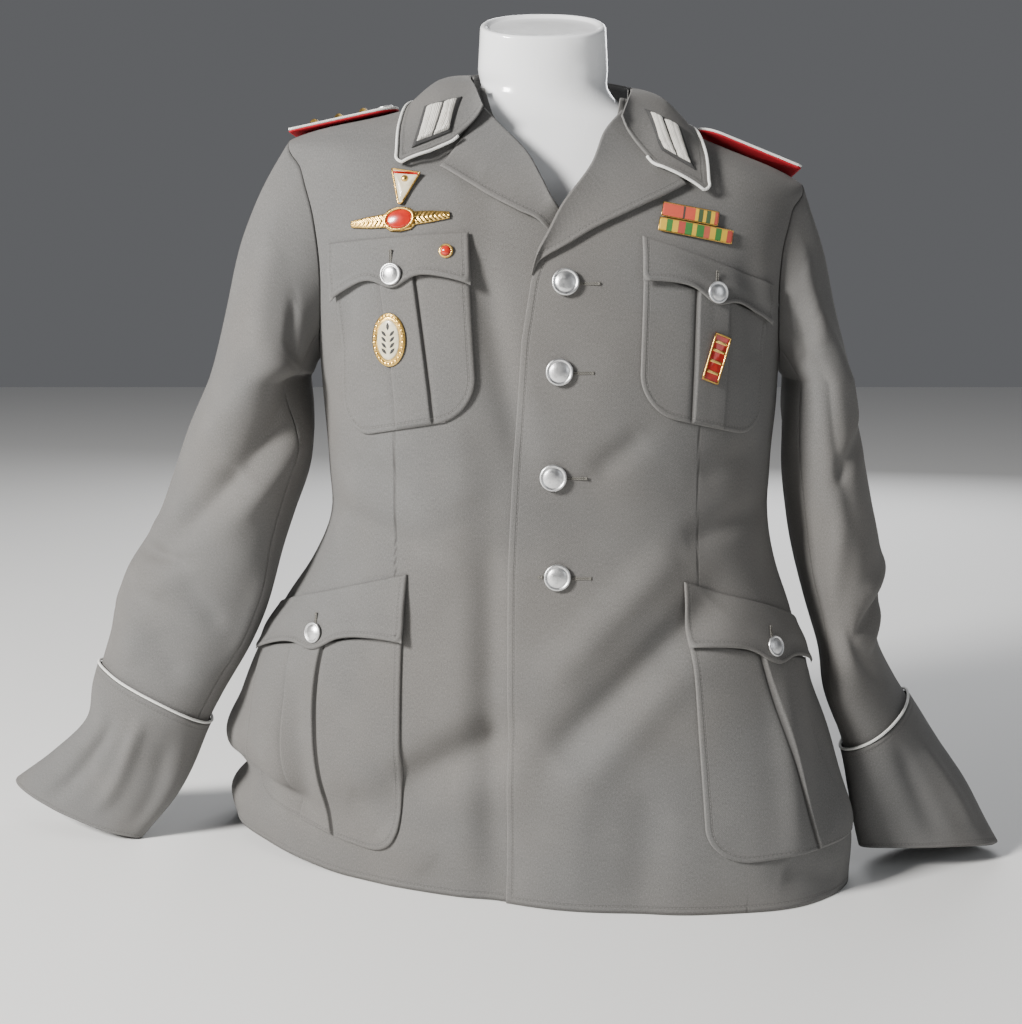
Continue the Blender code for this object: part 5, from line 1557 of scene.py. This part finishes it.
BUTTON_PROFILE = (
    # part of the radius, height as a part of the radius
    (0.0, 0.0), (0.80, 0.0), (0.95, 0.06), (1.0, 0.14), (1.0, 0.20), (0.97, 0.27), (0.92, 0.31),
    (0.86, 0.31), (0.81, 0.28), (0.78, 0.235), (0.74, 0.235), (0.66, 0.29), (0.50, 0.35), (0.30, 0.395), (0.0, 0.41),
)


HOLE_BAR = 0.0022


def button(name, r, place, node):
    """A domed button with a raised rim."""
    profile = [(part, height * r) for part, height in BUTTON_PROFILE]
    return finished(raised(name, circle(r, 40), profile, place), SILVER, [node])


def worked_hole(name, turn, length, place):
    """Close stitches round a slit in a place's own XY: two ridges, with a bar across the end."""
    turn = math.radians(turn)
    along = np.linspace(-length / 2, length / 2, 40)[:, None]
    across = np.linspace(-0.0014, 0.0014, 17)[None]
    ridge = np.sin(math.pi * np.clip((np.abs(across) - 0.00025) / 0.00115, 0, 1)) * 0.00055
    ends = ease(length / 2 - np.abs(along), 0.0, 0.0012)
    past = along - length / 2 + HOLE_BAR
    bar = np.where(past > 0, 0.0009 * np.sin(math.pi * np.clip(past / HOLE_BAR, 0, 1)), 0)
    threads = 1 + 0.12 * np.sin(2 * math.pi * along / 0.0009)
    height = 0.0001 + np.maximum(ridge * ends * threads, bar * (np.abs(across) < 0.0013))
    x = along * math.cos(turn) - across * math.sin(turn)
    y = along * math.sin(turn) + across * math.cos(turn)
    points = np.stack([x + 0 * height, y + 0 * height, height], axis=-1)
    weave = np.stack([across + 0 * along, along + 0 * across], axis=-1)
    return grid(name, placed(points, place)[:, ::-1], weave[:, ::-1])


def buttons():
    """The coat's and the flaps' buttons, with the worked holes that they pass through."""
    holes = []
    for number, (z, x) in enumerate(zip(BUTTON_Z, BUTTON_X)):
        level, s = front_at(x, z)
        place = place_on_coat(level, s, 0.0007)
        button(f"coat_button_{number + 1}", BUTTON_R, place, f"front_button_{number + 1}")
        holes.append(worked_hole(f"hole_{number}", 0, 0.020, at_view(x + 0.020, z - 0.001, 0.0002)))
    eyelet = at_view(BUTTON_X[3] - 0.0145, BUTTON_Z[3], 0.0002)
    holes.append(worked_hole("hole_eyelet", 0, 0.005, eyelet))
    for row in POCKETS.values():
        down = row["point"] * 0.66
        z, s = pocket_point(row, 0.5, down)
        place = place_on_coat(z, s, CHEST_POCKET_TOP + 0.0006 + CLOTH + 0.0005)
        button(f"{row['name']}_button", SMALL_BUTTON_R, place, f"{row['name']}_flap_button")
        z, s = pocket_point(row, 0.5, down - 0.013)
        v = float((down - 0.010) / row["point"])
        flat = place_on_coat(z, s, float(flap_lift(v)) + CLOTH + 0.0002)
        holes.append(worked_hole(f"hole_{row['name']}", 90, 0.014, flat))
    sewn = one_piece("buttonhole_stitching", holes)
    finished(sewn, HOLE_THREAD)


BOARD_START_X = {"right": 0.138, "left": 0.131}
BOARD_RUN = 0.067
BOARD_LENGTH = 0.100
BOARD_WIDTH = 0.044
BOARD_FELT = 0.0022
BOARD_BRAID = 0.0022
BOARD_TILT_DEG = {"right": 1, "left": 10}
BOARD_BUTTON_R = 0.0075
PIP_R = 0.0065
PIP_STEPS = (0.022, 0.045, 0.068)


def round_ended(length, width, count=17):
    """A strip's outline about its middle, with a round end at its own -X side."""
    r = width / 2
    arc = np.radians(np.linspace(90, 270, count))
    turn = np.stack([r + r * np.cos(arc), r * np.sin(arc)], axis=1)
    low = np.stack([np.linspace(r, length, 20)[1:], np.full(19, -r)], axis=1)
    end = np.stack([np.full(8, length), np.linspace(-r, r, 10)[1:-1]], axis=1)
    high = np.stack([np.linspace(length, r, 20)[:-1], np.full(19, r)], axis=1)
    return np.concatenate([turn, low, end, high]) - np.array([length / 2, 0])


def slab_profile(thickness, size, bevel=0.0007):
    """(scale, height) steps of a plate with rounded edges; size is its half width."""
    soft = bevel / size
    return (
        (0.0, 0.0), (1 - soft, 0.0), (1.0, bevel * 0.6), (1.0, thickness - bevel),
        (1 - soft * 0.3, thickness - bevel * 0.3), (1 - soft, thickness), (1 - soft * 4, thickness),
        (0.5, thickness), (0.0, thickness),
    )


def shoulder_board(side):
    """A stiff board of red felt under ribbed silver braid, with three gilt pips and a button."""
    sign = SIGN[side]
    inner_x, outer_x = sign * BOARD_START_X[side], sign * (BOARD_START_X[side] + BOARD_RUN)
    start = np.array([inner_x, 0, float(top_z(inner_x, 0))])
    end = np.array([outer_x, 0, float(top_z(outer_x, 0))])
    along = unit(end - start)
    tilt = math.radians(BOARD_TILT_DEG[side]) * sign
    level = np.array([0.0, sign, 0.0])
    across = level * math.cos(tilt) - np.cross(along, level) * math.sin(tilt)
    out = np.cross(along, across)
    turn = Matrix(np.stack([along, across, out], axis=1).tolist()).to_4x4()

    def laid(lift, shift=0.0):
        return Matrix.Translation((start + out * lift + along * shift).tolist()) @ turn

    foot = 0.0
    steps, asides = np.meshgrid(np.linspace(0, 1.35, 9), (-0.022, -0.011, 0.0, 0.011, 0.022))
    for _ in range(12):
        under = start + (end - start) * steps[..., None] + across * asides[..., None] + out * foot
        foot += (float((top_z(under[..., 0], under[..., 1]) - under[..., 2]).max()) + 0.0005) * 0.8
    middle = BOARD_LENGTH / 2
    felt = raised(
        f"board_felt_{side}", round_ended(BOARD_LENGTH, BOARD_WIDTH),
        slab_profile(BOARD_FELT, BOARD_WIDTH / 2, 0.0010), laid(foot, middle),
    )
    finished(felt, RED_FELT, [f"{side}_board_felt"])
    rim = rim_path(
        round_ended(BOARD_LENGTH - 0.0016, BOARD_WIDTH - 0.0016), BOARD_FELT + 0.0008, laid(foot, middle)
    )
    finished(cord(f"board_edging_{side}", rim, 0.0013, 10, closed=True, twist=0.06), PIPING)
    foot += BOARD_FELT + 0.0002
    inset = 0.004
    braid = raised(
        f"board_braid_{side}", round_ended(BOARD_LENGTH - inset, BOARD_WIDTH - 2 * inset),
        slab_profile(BOARD_BRAID, BOARD_WIDTH / 2 - inset, 0.0009), laid(foot, middle + inset / 2),
    )
    finished(braid, BRAID, [f"{side}_board_braid"])
    foot += BOARD_BRAID + 0.0002
    around = np.linspace(0, 2 * math.pi, 32, endpoint=False)
    star = circle(PIP_R, 32) * (1 - 0.10 * (0.5 + 0.5 * np.cos(4 * around)))[:, None]
    pip = (
        (0, 0), (1.0, 0), (1.0, 0.0008), (0.88, 0.0018), (0.66, 0.0024), (0.60, 0.0034),
        (0.44, 0.0042), (0.32, 0.0049), (0.0, 0.0055),
    )
    for number, step in enumerate(PIP_STEPS):
        made = raised(f"board_pip_{side}_{number + 1}", star, pip, laid(foot, BOARD_LENGTH - step))
        finished(made, GILT, [f"{side}_pip_{number + 1}"])
    button(f"board_button_{side}_top", BOARD_BUTTON_R, laid(foot, 0.012), f"{side}_board_button")


def lying_strip(name, x, z, spin, along, half, height, lift):
    """A narrow piece that follows the coat in the front view: half heights and tops along its length."""
    turn = math.radians(spin)
    along, half = np.asarray(along), np.asarray(half)
    across = np.linspace(-1, 1, 15)[:, None]
    dx = along * math.cos(turn) - across * half * math.sin(turn)
    dz = along * math.sin(turn) + across * half * math.cos(turn)
    level, s = front_at(x + dx, z + dz)
    top = lift + height(along[None] + 0 * across, across + 0 * along[None])
    points = coat(level, s, top)
    weave = np.stack([along[None] + 0 * across, across * half], axis=-1)
    part = (along - along[0]) / (along[-1] - along[0])
    seam = np.stack([part[None] + 0 * across, (across + 1) / 2 + 0 * part[None]], axis=-1)
    return thicken(grid(name, points, weave, seam), 0.0006)


def leaf(name, place, length, width, height):
    """A pointed leaf with a raised middle."""
    outline = [
        (length * (t - 0.5), side * width / 2 * math.sin(math.pi * t) ** 0.8)
        for side, ts in ((1, np.linspace(1, 0, 6)[:-1]), (-1, np.linspace(0, 1, 6)[:-1]))
        for t in ts
    ]
    return raised(name, outline, ((1.0, 0.0), (0.75, height * 0.7), (0.0, height)), place)


def shifted(place, x, y, z, spin=0.0):
    """A place moved and turned in its own frame."""
    return place @ Matrix.Translation((x, y, z)) @ Matrix.Rotation(math.radians(spin), 4, "Z")


def oval_badge():
    """A wreath of leaves round a cream field with a plain sprig."""
    place = at_view(-0.139, 0.500, CHEST_POCKET_TOP + 0.0005)
    plate = ((0, 0), (1, 0), (1, 0.0010), (0.96, 0.0016), (0.70, 0.0014), (0, 0.0014))
    base = [raised("oval_base", ellipse(0.0160, 0.0230, 64), plate, place)]
    for i in range(26):
        angle = 2 * math.pi * (i + 0.5) / 26
        x, y = 0.0138 * math.cos(angle), 0.0206 * math.sin(angle)
        heading = math.degrees(math.atan2(0.0206 * math.cos(angle), -0.0138 * math.sin(angle)))
        lean = 24 if x > 0 else 156
        for turn in (lean, -lean):
            stem = shifted(place, x, y, 0.0012, heading + turn)
            base.append(leaf(f"wreath_{i}_{turn}", stem, 0.0064, 0.0026, 0.0013))
    finished(one_piece("oval_badge_wreath", base), GILT, ["oval_badge"])
    dome = ((1, 0), (1, 0.0004), (0.9, 0.0009), (0, 0.0011))
    field = raised("oval_badge_field", ellipse(0.0108, 0.0172, 56), dome, shifted(place, 0, 0, 0.0014))
    finished(field, CREAM)
    inlay = []
    for i, y in enumerate((-0.0095, -0.0045, 0.0005, 0.0055)):
        for x, turn in ((-0.0040, 135), (0.0040, 45)):
            inlay.append(leaf(f"inlay_{i}_{turn}", shifted(place, x, y, 0.0024, turn), 0.0070, 0.0027, 0.0004))
    inlay.append(leaf("inlay_top", shifted(place, 0, 0.0115, 0.0024, 90), 0.0070, 0.0030, 0.0004))
    finished(one_piece("oval_badge_inlay", inlay), DARK_FELT)


def insignia():
    """Pins and ribbon bars of plain design on the chest."""
    lying = 0.0009
    corners = np.array([(-0.0125, 0.017), (-0.0015, -0.0145), (0.0015, -0.0145), (0.0135, 0.015)])
    outline = polygon(corners, 12)
    place = at_view(-0.129, 0.629, lying - 0.0004, -9)
    plate = ((0, 0), (0.97, 0), (1.0, 0.0004), (1.0, 0.0012), (0.95, 0.0017), (0, 0.0017))
    field = raised("triangle_field", outline, plate, place)
    finished(field, CREAM, ["triangle_pin"])
    rim = rim_path(outline * 0.98, 0.0016, place)
    dome = ((1, 0), (1, 0.0008), (0.8, 0.0016), (0, 0.0021))
    boss = raised("triangle_boss", circle(0.0030, 20), dome, shifted(place, 0.0005, 0.0085, 0.0015))
    finished(one_piece("triangle_rim", [cord("triangle_edge", rim, 0.0008, 8, closed=True), boss]), GILT)
    bar = [(-0.0108, 0.0), (0.0118, 0.0), (0.0112, 0.0022), (-0.0106, 0.0022)]
    thin = ((1, 0), (1, 0.0004), (0.9, 0.0007), (0, 0.0007))
    edge = raised("triangle_red_edge", bar, thin, shifted(place, 0, 0.0125, 0.0016))
    finished(edge, RED_ENAMEL)

    along = np.linspace(-0.043, 0.043, 120)
    wing_at = (-0.043, -0.028, -0.013, -0.009, 0.0, 0.009, 0.013, 0.028, 0.043)
    wing_half = (0.003, 0.005, 0.006, 0.0095, 0.0105, 0.0095, 0.006, 0.005, 0.003)
    half = np.interp(along, wing_at, wing_half)

    def feathers(a, b):
        barbs = np.sin(2 * math.pi * (np.abs(a) * 0.9 - np.abs(b) * 0.004) / 0.0034)
        return (0.0012 + 0.0006 * barbs * (np.abs(a) > 0.010)) * np.sqrt(np.maximum(1 - b**6, 0.0)) + 0.0004

    wings = lying_strip("wing_clasp_wings", -0.131, 0.602, 5, along, half, feathers, lying)
    finished(wings, GILT, ["wing_clasp"])
    place = at_view(-0.131, 0.602, lying + 0.0012, 5)
    wreath = rim_path(ellipse(0.0128, 0.0092, 48), 0.0014, place)
    finished(cord("wing_clasp_wreath", wreath, 0.0014, 10, closed=True, twist=0.12), GILT)
    dome = ((1, 0), (1, 0.0012), (0.8, 0.0021), (0, 0.0026))
    oval = raised("wing_clasp_oval", ellipse(0.0118, 0.0083, 48), dome, place)
    finished(oval, RED_ENAMEL)

    oval_badge()

    place = at_view(0.138, 0.484, CHEST_POCKET_TOP + 0.0005, -18)
    tab = np.array([(-0.008, -0.021), (0.008, -0.021), (0.008, 0.021), (-0.008, 0.021)])
    outline = polygon(tab, 10)
    plate = ((0, 0), (0.97, 0), (1.0, 0.0004), (1.0, 0.0012), (0.94, 0.0016), (0, 0.0016))
    plaque = raised("plaque_field", outline, plate, place)
    finished(plaque, RED_ENAMEL, ["red_plaque"])
    parts = [cord("plaque_edge", rim_path(outline * 0.97, 0.0016, place), 0.0009, 8, closed=True)]
    bar = [(-0.0060, -0.0012), (0.0060, -0.0012), (0.0060, 0.0012), (-0.0060, 0.0012)]
    low = ((1, 0), (1, 0.0005), (0.8, 0.0010), (0, 0.0010))
    for i, y in enumerate((-0.0125, -0.0030, 0.0065, 0.0140)):
        parts.append(raised(f"plaque_bar_{i}", bar, low, shifted(place, 0, y, 0.0014)))
    finished(one_piece("plaque_frame", parts), GILT)

    place = at_view(-0.090, 0.574, LIE_GAP * 1.3 + CLOTH + 0.0014 + 0.0018)
    dish = ((0, 0), (0.9, 0), (1, 0.0008), (1, 0.0018), (0.86, 0.0026), (0.72, 0.0020), (0, 0.0018))
    pin = raised("small_pin_rim", circle(0.0062, 28), dish, place)
    finished(pin, GILT, ["small_pin"])
    dome = ((1, 0), (1, 0.0010), (0.7, 0.0022), (0, 0.0030))
    gem = raised("small_pin_enamel", circle(0.0044, 24), dome, shifted(place, 0, 0, 0.0016))
    finished(gem, RED_ENAMEL)

    def bar_top(_, b):
        return 0.0022 - 0.0008 * np.abs(b) ** 6

    bars = (
        ("upper", 0.118, 0.6065, 0.0245, 0.0058, RIBBON_UPPER),
        ("lower", 0.1225, 0.5925, 0.0325, 0.0056, RIBBON_LOWER),
    )
    for label, x, z, length, half_height, finish in bars:
        along = np.linspace(-length, length, 60)
        made = lying_strip(f"ribbon_{label}", x, z, -10, along, np.full(60, half_height), bar_top, lying)
        finished(made, finish, [f"ribbon_bar_{label}"])
        turn = math.radians(-10)
        frame_path = [
            (dx * math.cos(turn) - dz * math.sin(turn), dx * math.sin(turn) + dz * math.cos(turn))
            for dx, dz in (
                [(d, -half_height) for d in np.linspace(-length, length, 24)]
                + [(d, half_height) for d in np.linspace(length, -length, 24)]
            )
        ]
        level, s = front_at([x + p for p, _ in frame_path], [z + q for _, q in frame_path])
        made = cord(f"ribbon_frame_{label}", coat(level, s, lying + 0.0016), 0.0006, 8, closed=True)
        finished(made, GILT)


FORM_CAP = (
    # part of the way out from the middle of the neck's cut, height over it
    (0.99, 0.0012), (0.965, 0.0022), (0.93, 0.0024), (0.90, 0.0016), (0.87, 0.0002), (0.84, -0.0002),
    (0.5, 0.0), (0.0, 0.0),
)


def torso_form():
    """The smooth limbless form, with a soft rim round the slanted cut of its neck."""
    rise = np.linspace(0, FORM_TOP, 150)[:, None]
    angle = np.linspace(0, 2 * math.pi, 129)[None]
    c, s = np.cos(angle), np.sin(angle)
    power = 2 / column(FORM, "square", rise)
    depth = np.where(s > 0, column(FORM, "back", rise), column(FORM, "front", rise))
    x = column(FORM, "half", rise) * np.sign(c) * np.abs(c) ** power
    y = depth * np.sign(s) * np.abs(s) ** power
    z = rise + NECK_CUT_SLOPE * y * ease(rise, 0.70, FORM_TOP) + column(FORM, "lean", rise) * x
    x = x + NECK_SHIFT * ease(rise, 0.697, 0.735)
    rows = np.stack(np.broadcast_arrays(x, y, z), axis=-1)
    top = rows[-1]
    middle = top.mean(axis=0)
    cap = [
        middle + (top - middle) * scale + np.array([0, -NECK_CUT_SLOPE * lift, lift]) for scale, lift in FORM_CAP
    ]
    low = rows[0]
    base = [low * 0.0, low * 0.5, low * 0.985]
    points = np.concatenate([np.stack(base), rows, np.stack(cap)])
    made = grid("glossy_torso_form", points, laid_flat(points), joined=True)
    return finished(made, PLASTIC, ["torso_form"])


def cut_of(weave):
    """(width, length, area) of a sheet's flat cut, from its places on the flat cloth."""
    a, b = weave[1:, 1:] - weave[:-1, :-1], weave[1:, :-1] - weave[:-1, 1:]
    area = float(np.abs(a[..., 0] * b[..., 1] - a[..., 1] * b[..., 0]).sum() / 2)
    width, length = (float(np.ptp(weave[..., i])) for i in (0, 1))
    return round(width, 3), round(length, 3), round(area, 4)


def declare(weave):
    """Works out the width, length and area of a sheet's cut and bounds the area by its box; nothing is returned."""
    width, length, area = cut_of(weave)
    area = min(max(area, 0.3 * width * length + 0.0001), width * length)


form = torso_form()
for side in SIGN:
    front, front_flat = coat_front(side)
    back, back_flat = coat_back(side)
    declare(front_flat)
    declare(back_flat)
    top, top_flat = sleeve_panel(side, "top", FORE_SEAM_DEG - 0.35, HIND_SEAM_DEG - 360 + 0.35, 66)
    under, under_flat = sleeve_panel(side, "under", HIND_SEAM_DEG - 0.35, FORE_SEAM_DEG + 0.35, 46)
    declare(top_flat)
    declare(under_flat)
    band, band_flat, piping = cuff(side)
    declare(band_flat)
    turned_edge, lapel_flat = lapel(side)
    declare(lapel_flat)
    patch, patch_flat, bars = collar_patch(side)
    declare(patch_flat)
    collar_piping(side)
    shoulder_board(side)
fall, fall_flat, stand, stand_flat = collar()
declare(fall_flat)
declare(stand_flat)
for row in POCKETS.values():
    patch, patch_flat = pocket(row)
    declare(patch_flat)
    cover, cover_flat = flap(row)
    declare(cover_flat)
buttons()
insignia()

bpy.ops.object.select_all(action="DESELECT")
bpy.ops.mesh.primitive_plane_add(size=12, location=(0, 0, 0))
floor = bpy.context.object
floor.name = "floor"
floor.data.materials.append(floor_material())


def area_light(name, place, aim, size, power, colour):
    bpy.ops.object.light_add(type="AREA", location=place)
    lamp = bpy.context.object
    lamp.name = name
    lamp.data.shape = "RECTANGLE"
    lamp.data.size, lamp.data.size_y = size
    lamp.data.energy = power
    lamp.data.color = colour
    lamp.rotation_euler = (Vector(aim) - Vector(place)).to_track_quat("-Z", "Y").to_euler()


area_light("key_softbox", (-2.4, -1.75, 1.85), (0, 0, 0.45), (0.6, 0.8), 262, (1.0, 0.98, 0.95))
area_light("fill_softbox", (2.2, -1.6, 1.3), (0, 0, 0.40), (1.2, 1.5), 10, (0.95, 0.98, 1.0))
area_light("top_softbox", (0.1, 0.4, 2.6), (0, 0, 0.4), (1.6, 1.2), 5, (1.0, 1.0, 1.0))
area_light("back_softbox", (0.6, 2.5, 1.3), (0, 0, 0.4), (1.6, 1.2), 34, (0.97, 0.98, 1.0))

world = bpy.data.worlds.new("soft_surround")
world.use_nodes = True
surround = world.node_tree.nodes["Background"]
surround.inputs["Color"].default_value = (0.93, 0.95, 1.0, 1)
surround.inputs["Strength"].default_value = 0.13
bpy.context.scene.world = world

bpy.ops.object.camera_add(location=(-0.036, -1.45, 0.56), rotation=(math.radians(90 - 8.923), 0, 0))
camera = bpy.context.object
camera.name = "front_camera"
camera.data.lens = 54.293
camera.data.sensor_width = 36
bpy.context.scene.camera = camera
